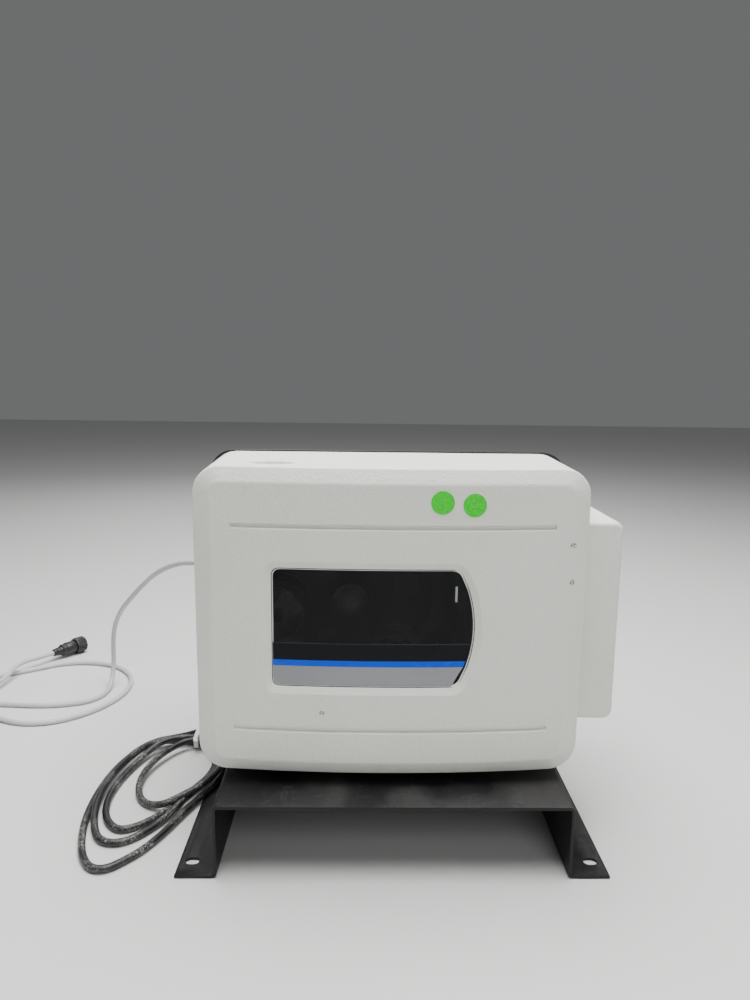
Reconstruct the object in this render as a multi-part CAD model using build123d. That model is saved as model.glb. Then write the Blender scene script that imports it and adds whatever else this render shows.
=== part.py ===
from build123d import *
import os
from math import atan, cos, degrees, hypot, pi, radians, sin, sqrt, tan

# A rapid-load peristaltic pump on a bent sheet-metal stand.
# Millimetres. +Z is up, the front faces -Y, +X is to the right of a person who faces the front.
# The origin is the centre of the four foot slots, on the surface that the stand rests on.

# ---- Stand: a hat section, open at the front and the back ----
STAND_WIDTH = 350.0
STAND_HEIGHT = 76.2
STAND_DEPTH = 279.4
SHEET = 3.2
FOOT_WIDTH = 38.0
BEND_INNER = 2.0
SLOT_SPACING_X = 400.0
SLOT_SPACING_Y = 235.4
SLOT_LENGTH = 14.0
SLOT_WIDTH = 10.0

# ---- Where the pump sits on the stand ----
PUMP_X = -4.5
ISOLATOR_HEIGHT = 13.8
ISOLATOR_RADIUS = 14.0
ISOLATOR_X = (PUMP_X - 140.0, PUMP_X + 140.0)
ISOLATOR_Y = (58.0, 122.0)
MOUNT_BOLT_RADIUS = 4.0

# ---- Front cover: a deep moulded shell with a bowed front ----
COVER_APEX_Y = -107.7
COVER_REAR_Y = 30.0
BOW_RADIUS = 1510.0
COVER_WALL = 4.0
COVER_FRONT = dict(half=191.0, low=88.6, high=398.4, top_r=24.0, low_r=32.0)
COVER_REAR = dict(half=197.5, low=83.5, high=400.0, top_r=25.0, low_r=30.0)
BAND_ACROSS = 16.0
BAND_DEEP = 7.0
GROOVE_LENGTH = 314.0
GROOVE_WIDTH = 4.6
GROOVE_DEPTH = 2.2
GROOVE_HEIGHTS = (137.5, 342.5)

# ---- Window: straight on three sides, an arc on the right ----
WINDOW_LEFT = -119.0
WINDOW_RIGHT = 60.5
WINDOW_APEX = 75.4
WINDOW_LOW = 183.5
WINDOW_HIGH = 299.8
WINDOW_CORNER = 6.0
WINDOW_BEVEL = 3.0
PANE_THICKNESS = 3.0
PANE_MARGIN = 9.0
GASKET_THICKNESS = 1.0
FILM_THICKNESS = 0.3
FILM_HIGH = 226.5
DOT_RADIUS = 11.3
DOTS = ((42.0, 367.0), (72.5, 364.7))

# ---- Side bulge on the cover's right wall, with room for the lever ----
BULGE_RIGHT = 228.5
BULGE_LOW = 134.3
BULGE_HIGH = 344.0
BULGE_FRONT = -73.7
BULGE_REAR = 22.0
BULGE_WALL = 3.5
BULGE_EDGE = 9.0
LEVER_CUT = dict(low=170.0, high=331.0, front=-60.0, rear=16.0)

# ---- Cover pull, hinge and catch ----
PULL_LEFT = -225.0
PULL_LOW = 203.0
PULL_HIGH = 262.0
PULL_FRONT = 0.0
PULL_REAR = 25.0
HINGE_X = 203.0
HINGE_Y = 31.0
KNUCKLE_RADIUS = 5.5
HINGE_PIN_RADIUS = 2.5
HINGE_SPANS = ((104.0, 130.0), (347.0, 373.0))
CATCH_Z = 250.0

# ---- Rear housing, gasket and panel ----
GASKET_FRONT = 30.3
FLANGE_FRONT = 31.5
FLANGE_REAR = 40.5
FLANGE = dict(half=199.3, low=82.0, high=401.3, top_r=26.0, low_r=31.0)
BODY_FRONT = dict(half=190.0, low=90.0, high=386.0, top_r=22.0, low_r=22.0)
BODY_REAR = dict(half=187.0, low=92.0, high=383.0, top_r=22.0, low_r=22.0)
BODY_REAR_Y = 140.0
HOUSING_WALL = 4.0
LEDGE = dict(half=172.0, low=109.0, high=367.0, top_r=16.0, low_r=16.0)
PANEL_THICKNESS = 2.5
HEAD_PLATE = dict(half=186.0, low=94.0, high=382.0, top_r=18.0, low_r=18.0)
HEAD_PLATE_FRONT = 21.5

# ---- Rotor ----
AXIS_X = -45.0
AXIS_Z = 250.5
ROLLER_CIRCLE = 76.0
ROLLER_RADIUS = 27.9
ROLLER_FRONT = -59.7
ROLLER_REAR = -5.7
ROLLER_BORE = 6.05
AXLE_RADIUS = 6.0
FIRST_ROLLER_ANGLE = 187.0
ROLLER_COUNT = 3
PLATE_RADIUS = 90.0
PLATE_FRONT = -4.5
PLATE_REAR = 5.5
HUB_RADIUS = 19.5
SHAFT_RADIUS = 10.0
BEARING_RADIUS = 21.0

# ---- Occlusion bed, its rods and the lever that moves it ----
BED_INNER = 112.0
BED_OUTER = 126.0
BED_STRAIGHT = 40.0
BED_FRONT = -62.0
BED_REAR = -6.0
BED_TRAVEL = 12.0
ROD_RADIUS = 5.0
ROD_OFFSET = 119.0
ROD_Y = 8.0
ROD_X = (-110.0, 22.0)
BOSS_X = (-75.0, -30.0)
BOSS_WIDTH = 12.0
BLOCK_X = (-104.0, 8.0)
LEVER_X = 130.0
LEVER_SWEEP = 80.0
LEVER_REST = 40.0
LEVER_LENGTH = 80.0
LEVER_PIN_RADIUS = 8.0
CAM_RADIUS = 44.0
CAM_FRONT = 0.0
CAM_REAR = 10.0
BED_PIN_RADIUS = 4.0
BED_PIN_START = 35.0
GRIP_RADIUS = 9.0

# ---- Tube guides on the left ----
TUBE_RADIUS = 17.5
TUBE_Y = -33.0
TUBE_OFFSET = 92.5
GUIDE_X = (-177.5, -157.5)

# ---- Gearbox and motor ----
PRESSURE_ANGLE = radians(20.0)
STAGE_TEETH = (60, 15)
OUTPUT_MODULE = 1.75
INPUT_MODULE = 1.25
BACKLASH = 0.25
OUTPUT_GEAR_Y = (39.0, 51.0)
INPUT_GEAR_Y = (55.0, 62.0)
CASE_REAR = 72.0
CASE_WALL = 5.0
MOTOR_RADIUS = 50.0
MOTOR_REAR = 128.0
RUNNING_GAP = 0.05

# ---- Cords ----
SIGNAL_DIAMETER = 7.0
POWER_DIAMETER = 7.8
SIGNAL_GLAND = (96.0, 253.0)
POWER_GLAND = (-150.0, 130.0)
HANK_HEIGHT = 24.0
CONNECTOR_BACK = (-557.0, 397.3)
CONNECTOR_TURN = 54.9
CONNECTOR_AXIS_Z = 14.0
PLUG_X = -10.0
PLUG_Y = 172.0


def level(y):
    """A sketch plane across the pump at depth y: its axes are +X and +Z, its normal is -Y."""
    return Plane(origin=(0, y, 0), x_dir=(1, 0, 0), z_dir=(0, -1, 0))


def slab(sketch, front, rear):
    """A sketch in X and Z, made solid from y = front to y = rear."""
    return extrude(level(rear) * sketch, amount=rear - front)


def rod(x, z, front, rear, radius):
    """A cylinder along Y."""
    return slab(Pos(x, z) * Circle(radius), front, rear)


def upright(x, y, low, high, radius):
    """A cylinder along Z."""
    return Pos(x, y, (low + high) / 2) * Cylinder(radius, high - low)


def bar(left, right, y, z, radius):
    """A cylinder along X."""
    return Pos((left + right) / 2, y, z) * Rot(0, 90, 0) * Cylinder(radius, right - left)


def block(x0, x1, y0, y1, z0, z1):
    """A box from its two corners."""
    return Pos((x0 + x1) / 2, (y0 + y1) / 2, (z0 + z1) / 2) * Box(x1 - x0, y1 - y0, z1 - z0)


def outline(half, low, high, top_r, low_r, inset=0.0):
    """A rounded rectangle in X and Z, centred on the pump, drawn in from its edge by inset."""
    width = 2 * (half - inset)
    height = high - low - 2 * inset
    sheet = Rectangle(width, height)
    rows = sheet.vertices().group_by(Axis.Y)
    sheet = fillet(rows[-1], max(top_r - inset, 2.0))
    rows = sheet.vertices().group_by(Axis.Y)
    sheet = fillet(rows[0], max(low_r - inset, 2.0))
    return Pos(PUMP_X, (low + high) / 2) * sheet


def tapered(front, front_y, rear, rear_y, inset=0.0):
    """A straight-sided solid between two outlines."""
    near = level(front_y) * outline(**front, inset=inset)
    far = level(rear_y) * outline(**rear, inset=inset)
    return loft([far.face(), near.face()], ruled=True)


def bow(depth):
    """The body behind the cover's bowed front, taken back by depth."""
    radius = BOW_RADIUS - depth
    height = 400.0
    return Pos(PUMP_X, COVER_APEX_Y + BOW_RADIUS, 240.0) * Cylinder(radius, height)


def cover_block(inset):
    """The cover's outside, or its inside when inset is the wall."""
    body = tapered(COVER_FRONT, COVER_APEX_Y - 1.0, COVER_REAR, COVER_REAR_Y, inset)
    body = body & bow(inset)
    body = body.solid()
    front = body.faces().sort_by(Axis.Y)[0]
    return chamfer(front.outer_wire().edges(), length=BAND_ACROSS, length2=BAND_DEEP, reference=front).solid()


def window_outline(grow):
    """The window: three straight sides and an arc on the right, grown by grow."""
    middle = (WINDOW_LOW + WINDOW_HIGH) / 2
    lower_right = (WINDOW_RIGHT, WINDOW_LOW)
    upper_right = (WINDOW_RIGHT, WINDOW_HIGH)
    edges = [
        Line((WINDOW_LEFT, WINDOW_HIGH), (WINDOW_LEFT, WINDOW_LOW)),
        Line((WINDOW_LEFT, WINDOW_LOW), lower_right),
        ThreePointArc(lower_right, (WINDOW_APEX, middle), upper_right),
        Line(upper_right, (WINDOW_LEFT, WINDOW_HIGH)),
    ]
    sheet = make_face(Wire(edges))
    sheet = fillet(sheet.vertices(), WINDOW_CORNER)
    return offset(sheet, grow) if grow else sheet


def between_bows(sketch, shallow, deep):
    """A sketch in X and Z, made solid between two depths behind the bowed front."""
    prism = slab(sketch, COVER_APEX_Y - 5.0, COVER_APEX_Y + 60.0)
    return (prism & bow(shallow)) - bow(deep)


def polar(x, z, radius, angle):
    """A point in X and Z at an angle in degrees from +X towards +Z."""
    return (x + radius * cos(radians(angle)), z + radius * sin(radians(angle)))


def involute(radius, base):
    """The involute function of a tooth flank at a radius."""
    if radius <= base:
        return 0.0
    slope = sqrt((radius / base) ** 2 - 1)
    return slope - atan(slope)


def gear(teeth, module, angle, x, z, front, rear):
    """A spur gear along Y with a tooth at the angle given in degrees."""
    pitch = teeth * module / 2
    base = pitch * cos(PRESSURE_ANGLE)
    tip = pitch + module
    root = pitch - 1.25 * module
    half = pi / (2 * teeth) - BACKLASH / (2 * pitch) + involute(pitch, base)
    start = max(base, root)
    flank = [start + (tip - start) * step / 3 for step in range(4)]
    points = []
    for tooth in range(teeth):
        middle = radians(angle) + 2 * pi * tooth / teeth
        side = [(root, half)] + [(r, half - involute(r, base)) for r in flank]
        points += [(r * cos(middle - a), r * sin(middle - a)) for r, a in side]
        points += [(r * cos(middle + a), r * sin(middle + a)) for r, a in reversed(side)]
    sheet = make_face(Polyline(*points, close=True))
    return slab(Pos(x, z) * sheet, front, rear)


def cap_screw(x, z, seat, length, radius):
    """A socket-head screw along Y whose head stands in front of its seat."""
    head = rod(x, z, seat - 1.2 * radius, seat, 1.7 * radius)
    shank = rod(x, z, seat, seat + length, radius)
    socket = slab(Pos(x, z) * RegularPolygon(0.9 * radius, 6), seat - 1.2 * radius, seat - 0.4 * radius)
    return head + shank - socket


def tube(points, diameter, name=""):
    """A round cord along straight runs joined by tangent arcs. With a name, it prints its radii and volume."""
    knots = [Vector(*p) for p in points]
    runs = [(b - a).length for a, b in zip(knots, knots[1:])]
    radii = []
    for before, at, after, run_in, run_out in zip(knots, knots[1:], knots[2:], runs, runs[1:]):
        turn = radians((at - before).get_angle(after - at))
        radii.append(0.45 * min(run_in, run_out) / tan(turn / 2))
    path = FilletPolyline(*knots, radius=radii).wire()
    start = Plane(origin=path @ 0, z_dir=path % 0)
    body = sweep(start * Circle(diameter / 2), path=path)
    expected = pi * diameter ** 2 / 4 * path.length
    if name:
        print(name, "length %.0f" % path.length, "volume ratio %.4f" % (body.volume / expected))
        print("  radii", " ".join("%.0f" % r for r in radii))
    return body


# ======== Stand ========
def stand_bracket():
    half = STAND_WIDTH / 2
    reach = half + FOOT_WIDTH
    inside = half - SHEET
    top = STAND_HEIGHT
    points = [
        (-reach, 0), (-inside, 0), (-inside, top - SHEET), (inside, top - SHEET), (inside, 0), (reach, 0),
        (reach, SHEET), (half, SHEET), (half, top), (-half, top), (-half, SHEET), (-reach, SHEET),
    ]
    sheet = make_face(Polyline(*points, close=True))
    outer = [v for v in sheet.vertices() if (abs(v.X), v.Y) in ((inside, 0), (half, top))]
    sheet = fillet(outer, BEND_INNER + SHEET)
    inner = [v for v in sheet.vertices() if (abs(v.X), v.Y) in ((inside, top - SHEET), (half, SHEET))]
    sheet = fillet(inner, BEND_INNER)
    body = slab(sheet, -STAND_DEPTH / 2, STAND_DEPTH / 2)
    for x in (-SLOT_SPACING_X / 2, SLOT_SPACING_X / 2):
        for y in (-SLOT_SPACING_Y / 2, SLOT_SPACING_Y / 2):
            body -= Pos(x, y, 0) * extrude(SlotOverall(SLOT_LENGTH, SLOT_WIDTH), amount=2 * SHEET)
    for x in ISOLATOR_X:
        for y in ISOLATOR_Y:
            body -= upright(x, y, top - 2 * SHEET, top + 1, MOUNT_BOLT_RADIUS + 0.5)
    return body


def isolators():
    low, high = STAND_HEIGHT, STAND_HEIGHT + ISOLATOR_HEIGHT
    pads = []
    for x in ISOLATOR_X:
        for y in ISOLATOR_Y:
            pad = upright(x, y, low, high, ISOLATOR_RADIUS) - upright(x, y, low, high, MOUNT_BOLT_RADIUS)
            pads.append(chamfer(pad.edges().filter_by(GeomType.CIRCLE).sort_by(SortBy.RADIUS)[-2:], 1.5))
    return Compound(pads)


def mounting_bolts():
    head_top = STAND_HEIGHT - SHEET
    bolts = []
    for x in ISOLATOR_X:
        for y in ISOLATOR_Y:
            head = Pos(x, y, head_top - 6.5) * extrude(RegularPolygon(7.5, 6), amount=5.0)
            washer = upright(x, y, head_top - 1.5, head_top, 9.0)
            shank = upright(x, y, head_top - 1.5, STAND_HEIGHT + ISOLATOR_HEIGHT + 12.0, MOUNT_BOLT_RADIUS)
            bolts.append(head + washer + shank)
    return Compound(bolts)


# ======== Cover ========
def notch(side):
    """The slot in the cover's left wall where a tube end passes."""
    z = AXIS_Z + side * TUBE_OFFSET
    reach = TUBE_RADIUS + 3.0
    hole = bar(-230.0, -180.0, TUBE_Y, z, reach)
    return hole + block(-230.0, -180.0, TUBE_Y, COVER_REAR_Y + 5.0, z - reach, z + reach)


def front_cover():
    body = cover_block(0.0) - cover_block(COVER_WALL)
    for height in GROOVE_HEIGHTS:
        cut = Pos(PUMP_X, height) * SlotOverall(GROOVE_LENGTH, GROOVE_WIDTH)
        body -= slab(cut, COVER_APEX_Y - 5.0, COVER_APEX_Y + 40.0) - bow(GROOVE_DEPTH)
    body -= slab(window_outline(0.0), COVER_APEX_Y - 5.0, COVER_APEX_Y + 30.0)
    bowed = [face for face in body.faces().filter_by(GeomType.CYLINDER) if face.area > 30000]
    front = min(bowed, key=lambda face: face.center().Y)
    loops = [wire for wire in front.inner_wires() if wire.bounding_box().size.Z > 50]
    body = body.solid().chamfer(WINDOW_BEVEL, WINDOW_BEVEL, list(loops[0].edges()))
    body -= block(175.0, 205.0, LEVER_CUT["front"], LEVER_CUT["rear"], LEVER_CUT["low"], LEVER_CUT["high"])
    for side in (1, -1):
        body -= notch(side)
    for x, z in bulge_screw_places():
        body -= bar(175.0, 200.0, x, z, 2.1)
    return body.solid()


def bulge_screw_places():
    """Depth and height of the four screws that hold the side bulge."""
    return [(y, z) for y in (-66.0, 14.5) for z in (153.0, 337.0)]


def side_bulge():
    outer = block(170.0, BULGE_RIGHT, BULGE_FRONT, BULGE_REAR, BULGE_LOW, BULGE_HIGH)
    edges = [e for e in outer.edges() if e.center().X > 171.0]
    outer = fillet(edges, BULGE_EDGE)
    wall = BULGE_WALL
    inner = block(
        160.0, BULGE_RIGHT - wall, BULGE_FRONT + wall, BULGE_REAR - wall, BULGE_LOW + wall, BULGE_HIGH - wall)
    edges = [e for e in inner.edges() if e.center().X > 161.0]
    inner = fillet(edges, BULGE_EDGE - wall)
    body = outer - inner
    for y, z in bulge_screw_places():
        body += bar(185.0, 210.0, y, z, 5.0) & outer
        body -= bar(180.0, 204.0, y, z, 2.0)
    return (body - cover_sides(0.0)).solid()


def cover_sides(inset):
    """The cover's tapered sides before the front is shaped."""
    return tapered(COVER_FRONT, COVER_APEX_Y - 1.0, COVER_REAR, COVER_REAR_Y, inset)


def bulge_screws():
    screws = []
    for y, z in bulge_screw_places():
        share = (y - COVER_APEX_Y + 1.0) / (COVER_REAR_Y - COVER_APEX_Y + 1.0)
        half = COVER_FRONT["half"] + share * (COVER_REAR["half"] - COVER_FRONT["half"])
        inner = PUMP_X + half - COVER_WALL - 0.3
        screws.append(bar(inner - 2.4, inner, y, z, 3.8) + bar(inner, 203.0, y, z, 2.0))
    return Compound(screws)


def window_pane():
    start = COVER_WALL + GASKET_THICKNESS
    return between_bows(window_outline(PANE_MARGIN), start, start + PANE_THICKNESS).solid()


def window_gasket():
    ring = window_outline(PANE_MARGIN) - window_outline(1.0)
    return between_bows(ring, COVER_WALL, COVER_WALL + GASKET_THICKNESS).solid()


def window_label():
    start = COVER_WALL + GASKET_THICKNESS
    strip = window_outline(0.6) & (Pos(-40.0, FILM_HIGH - 50.0) * Rectangle(240.0, 100.0))
    slant = make_face(Polyline((65.0, 230.0), (62.5, 203.0), (52.0, 180.0), (90.0, 180.0), (90.0, 230.0), close=True))
    return between_bows(strip - slant, start - FILM_THICKNESS, start).solid()


def marker_dots():
    dots = [between_bows(Pos(x, z) * Circle(DOT_RADIUS), -0.25, 0.0).solid() for x, z in DOTS]
    return Compound(dots)


def cover_pull():
    grip = block(PULL_LEFT, -190.0, PULL_FRONT, PULL_REAR, PULL_LOW, PULL_HIGH)
    grip = fillet([e for e in grip.edges() if e.center().X < -191.0], 8.0)
    grip -= block(-218.0, -180.0, PULL_REAR - 9.0, PULL_REAR + 1.0, PULL_LOW + 10.0, PULL_HIGH - 10.0)
    return (grip - cover_sides(0.0)).solid()


def hinge_leaves(moving):
    """Two leaves with their knuckles. The cover's knuckle is the middle third of each hinge."""
    leaves = []
    for low, high in HINGE_SPANS:
        third = (high - low) / 3
        gap = 0.3
        middle = (low + third, high - third)
        spans = [middle] if moving else [(low, low + third - gap), (high - third + gap, high)]
        leaf = None
        for bottom, top in spans:
            knuckle = upright(HINGE_X, HINGE_Y, bottom, top, KNUCKLE_RADIUS)
            if moving:
                arm = block(190.0, HINGE_X, 23.0, 28.5, bottom, top)
                plate = block(188.0, 196.5, -16.0, 24.0, low, high)
                piece = (knuckle + arm + plate) - cover_sides(0.0)
                bore = HINGE_PIN_RADIUS + RUNNING_GAP
            else:
                arm = block(197.5, HINGE_X, 33.5, 62.0, bottom, top)
                piece = knuckle + arm
                bore = HINGE_PIN_RADIUS
            piece -= upright(HINGE_X, HINGE_Y, bottom - 1, top + 1, bore)
            leaf = piece if leaf is None else leaf + piece
        if not moving:
            leaf += block(196.5, 199.5, 44.0, 62.0, low, high)
            leaf += block(180.0, 198.0, 44.0, 62.0, low, high) - housing_body(0.0)
        leaves.append(leaf.solid())
    return Compound(leaves)


def hinge_pins():
    pins = []
    for low, high in HINGE_SPANS:
        pin = upright(HINGE_X, HINGE_Y, low, high, HINGE_PIN_RADIUS)
        pins.append(pin + upright(HINGE_X, HINGE_Y, high, high + 2.0, 4.0))
    return Compound(pins)


def catch_plate():
    body = block(-200.0, -172.0, 11.0, 14.6, CATCH_Z - 12.0, CATCH_Z + 12.0)
    return (body & cover_sides(COVER_WALL)).solid()


def catch_magnet():
    return block(-186.0, -172.0, 15.0, HEAD_PLATE_FRONT, CATCH_Z - 10.0, CATCH_Z + 10.0)


# ======== Rear housing ========
def housing_body(inset):
    return tapered(BODY_FRONT, FLANGE_REAR, BODY_REAR, BODY_REAR_Y, inset)


def rear_housing():
    flange = slab(outline(**FLANGE), FLANGE_FRONT, FLANGE_REAR)
    flange = chamfer(flange.faces().sort_by(Axis.Y)[-1].outer_wire().edges(), 2.0)
    body = flange + housing_body(0.0)
    body -= tapered(BODY_FRONT, FLANGE_REAR, BODY_REAR, BODY_REAR_Y + 1.0, HOUSING_WALL)
    body -= slab(outline(**LEDGE), FLANGE_FRONT - 1.0, FLANGE_REAR + 1.0)
    for x in ISOLATOR_X:
        for y in ISOLATOR_Y:
            foot = upright(x, y, 90.0, 106.0, 11.0)
            body += foot
            body -= upright(x, y, 85.0, 102.2, MOUNT_BOLT_RADIUS)
    body -= bar(-215.0, -180.0, *SIGNAL_GLAND, 7.0)
    for x, z in head_screw_places():
        body -= rod(x, z, FLANGE_FRONT - 1.0, FLANGE_REAR + 1.0, 3.0)
    for x, z in panel_screw_places():
        body += rod(x, z, BODY_REAR_Y - 22.0, BODY_REAR_Y - PANEL_THICKNESS, 8.5) & housing_body(0.5)
        body -= rod(x, z, BODY_REAR_Y - 16.0, BODY_REAR_Y, 2.0)
    return body.solid()


def head_screw_places():
    """Screws round the edge of the head plate."""
    return [(PUMP_X + x, z) for x in (-179.0, 179.0) for z in (145.0, 331.0)] + [
        (PUMP_X + x, z) for x in (-121.0, 121.0) for z in (101.0, 375.0)]


def panel_screw_places():
    return [(PUMP_X + x, z) for x in (-174.0, 174.0) for z in (105.0, 370.0)]


def housing_gasket():
    ring = outline(**FLANGE, inset=2.0) - outline(**HEAD_PLATE, inset=-1.0)
    return slab(ring, GASKET_FRONT, FLANGE_FRONT).solid()


SWITCH = dict(x=-150.0, z=190.0, width=20.0, height=28.0)


def switch_cut(grow):
    return Pos(SWITCH["x"], SWITCH["z"]) * Rectangle(SWITCH["width"] + grow, SWITCH["height"] + grow)


def rear_panel():
    plate = slab(outline(**BODY_REAR, inset=HOUSING_WALL + 0.2), BODY_REAR_Y - PANEL_THICKNESS, BODY_REAR_Y)
    plate -= slab(switch_cut(0.0), 130.0, 145.0)
    plate -= rod(*POWER_GLAND, 130.0, 145.0, 7.0)
    for x, z in panel_screw_places():
        plate -= rod(x, z, 130.0, 145.0, 2.2)
    vent = SlotOverall(60.0, 4.0)
    for column in (20.0, 100.0):
        for row in range(7):
            plate -= slab(Pos(column, 180.0 + 11.0 * row) * vent, 130.0, 145.0)
    return plate


def panel_screws():
    screws = []
    for x, z in panel_screw_places():
        screws.append(rod(x, z, BODY_REAR_Y, BODY_REAR_Y + 2.4, 4.0) + rod(x, z, BODY_REAR_Y - 12.0, BODY_REAR_Y, 2.0))
    return Compound(screws)


def power_switch():
    x, z = SWITCH["x"], SWITCH["z"]
    rim = slab(switch_cut(5.0), BODY_REAR_Y, BODY_REAR_Y + 1.6)
    body = rim + slab(switch_cut(0.0), BODY_REAR_Y - 22.0, BODY_REAR_Y)
    body -= slab(switch_cut(-4.0), BODY_REAR_Y - 14.0, BODY_REAR_Y + 5.0)
    body += bar(x - 9.0, x + 9.0, BODY_REAR_Y - 6.0, z, 1.5)
    return body


def switch_rocker():
    x, z = SWITCH["x"], SWITCH["z"]
    y = BODY_REAR_Y - 6.0
    width = (SWITCH["width"] - 4.0) / 2 - 0.4
    profile = Polyline(
        (y - 5.0, z - 3.5), (y - 2.0, z - 11.0), (y + 7.6, z - 9.8), (y + 6.2, z), (y + 10.6, z + 9.0),
        (y + 1.0, z + 10.8), (y - 5.0, z + 3.5), close=True)
    face = Plane(origin=(x - width, 0, 0), x_dir=(0, 1, 0), z_dir=(1, 0, 0)) * make_face(profile)
    body = extrude(face, amount=2 * width)
    return body - bar(x - 9.0, x + 9.0, y, z, 1.5 + RUNNING_GAP)


# ======== Pump head ========
def head_plate():
    plate = slab(outline(**HEAD_PLATE), HEAD_PLATE_FRONT, FLANGE_FRONT)
    plate -= rod(AXIS_X, AXIS_Z, 0.0, 50.0, BEARING_RADIUS)
    for x, z in head_screw_places():
        plate -= rod(x, z, 0.0, 50.0, 3.0)
    for x, z in case_screw_places() + frame_screw_places():
        plate -= rod(x, z, 0.0, 50.0, 2.5)
    plate -= rod(LEVER_X, AXIS_Z, 0.0, 50.0, LEVER_PIN_RADIUS)
    x, z = idler_centre()
    plate -= rod(x, z, HEAD_PLATE_FRONT + 3.5, 50.0, 5.0 + RUNNING_GAP)
    return plate


def case_screw_places():
    """Screws that hold the gearbox case to the back of the head plate."""
    left, right, low, high = case_box()
    return [(x, z) for x in (left + 7.0, right - 7.0) for z in (low + 7.0, high - 7.0)]


def frame_screw_places():
    """Screws through the rod blocks and the tube guides."""
    blocks = [(x, AXIS_Z + side * ROD_OFFSET) for x in BLOCK_X for side in (-1, 1)]
    guides = [((GUIDE_X[0] + GUIDE_X[1]) / 2, AXIS_Z + side * (TUBE_OFFSET + 25.0)) for side in (-1, 1)]
    return blocks + guides


def head_screws():
    screws = [cap_screw(x, z, HEAD_PLATE_FRONT, FLANGE_REAR - HEAD_PLATE_FRONT, 3.0) for x, z in head_screw_places()]
    screws += [cap_screw(x, z, HEAD_PLATE_FRONT, 16.0, 2.5) for x, z in case_screw_places()]
    return Compound(screws)


def guide_rods():
    return Compound([bar(ROD_X[0], ROD_X[1], ROD_Y, AXIS_Z + side * ROD_OFFSET, ROD_RADIUS) for side in (-1, 1)])


def rod_blocks():
    blocks = []
    for x in BLOCK_X:
        for side in (-1, 1):
            z = AXIS_Z + side * ROD_OFFSET
            body = block(x - 6.0, x + 6.0, ROD_Y - 8.5, HEAD_PLATE_FRONT, z - 9.0, z + 9.0)
            blocks.append(fillet(body.edges().filter_by(Axis.X).group_by(Axis.Y)[0], 6.0)
                          - bar(x - 7.0, x + 7.0, ROD_Y, z, ROD_RADIUS))
    return Compound(blocks)


def tube_guide(side):
    z = AXIS_Z + side * TUBE_OFFSET
    low, high = (z - 26.0, z + 32.0) if side > 0 else (z - 32.0, z + 26.0)
    body = block(GUIDE_X[0], GUIDE_X[1], -56.0, HEAD_PLATE_FRONT, low, high)
    body = fillet(body.edges().filter_by(Axis.X), 5.0)
    body -= bar(GUIDE_X[0] - 1, GUIDE_X[1] + 1, TUBE_Y, z, TUBE_RADIUS)
    body -= block(GUIDE_X[0] - 1, GUIDE_X[1] + 1, -60.0, TUBE_Y, z - TUBE_RADIUS, z + TUBE_RADIUS)
    return body


def main_bearing():
    ring = rod(AXIS_X, AXIS_Z, HEAD_PLATE_FRONT + 3.0, FLANGE_FRONT, BEARING_RADIUS)
    return ring - rod(AXIS_X, AXIS_Z, 0.0, 50.0, SHAFT_RADIUS + RUNNING_GAP)


def shaft_seal():
    ring = rod(AXIS_X, AXIS_Z, HEAD_PLATE_FRONT, HEAD_PLATE_FRONT + 3.0, BEARING_RADIUS)
    return ring - rod(AXIS_X, AXIS_Z, 0.0, 50.0, SHAFT_RADIUS + RUNNING_GAP)


# ======== Rotor ========
def roller_places():
    step = 360.0 / ROLLER_COUNT
    return [polar(AXIS_X, AXIS_Z, ROLLER_CIRCLE, FIRST_ROLLER_ANGLE + step * n) for n in range(ROLLER_COUNT)]


def rotor_carrier():
    plate = rod(AXIS_X, AXIS_Z, PLATE_FRONT, PLATE_REAR, PLATE_RADIUS)
    plate = chamfer(plate.edges().filter_by(GeomType.CIRCLE), 1.5)
    body = plate + rod(AXIS_X, AXIS_Z, -46.0, PLATE_FRONT, HUB_RADIUS) + rod(AXIS_X, AXIS_Z, PLATE_REAR, 14.0, HUB_RADIUS)
    for n in range(ROLLER_COUNT):
        x, z = polar(AXIS_X, AXIS_Z, 62.0, FIRST_ROLLER_ANGLE + 60.0 + 120.0 * n)
        body -= rod(x, z, PLATE_FRONT - 1, PLATE_REAR + 1, 14.0)
    for x, z in roller_places():
        body -= rod(x, z, PLATE_FRONT - 1, PLATE_REAR + 1, AXLE_RADIUS)
    return body - rod(AXIS_X, AXIS_Z, -50.0, 20.0, SHAFT_RADIUS)


def drive_shaft():
    body = rod(AXIS_X, AXIS_Z, -50.0, CASE_REAR - 1.0, SHAFT_RADIUS)
    return chamfer(body.edges().filter_by(GeomType.CIRCLE), 1.0)


def rotor_nut():
    body = slab(Pos(AXIS_X, AXIS_Z) * RegularPolygon(16.0, 6), -50.0, -46.0)
    return body - rod(AXIS_X, AXIS_Z, -60.0, -40.0, SHAFT_RADIUS)


def roller_axles():
    axles = []
    for x, z in roller_places():
        pin = rod(x, z, ROLLER_FRONT - 2.0, PLATE_REAR, AXLE_RADIUS)
        pin = pin - rod(x, z, ROLLER_FRONT - 3.0, ROLLER_FRONT - 0.5, 3.0)
        collar = rod(x, z, ROLLER_REAR + 0.2, PLATE_FRONT, 9.0)
        ring = rod(x, z, ROLLER_FRONT - 1.6, ROLLER_FRONT - 0.4, 8.0)
        axles.append(pin + collar + (ring - rod(x, z, ROLLER_FRONT - 3.0, ROLLER_FRONT, AXLE_RADIUS - 0.5)))
    return Compound([a.solid() for a in axles])


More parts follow.
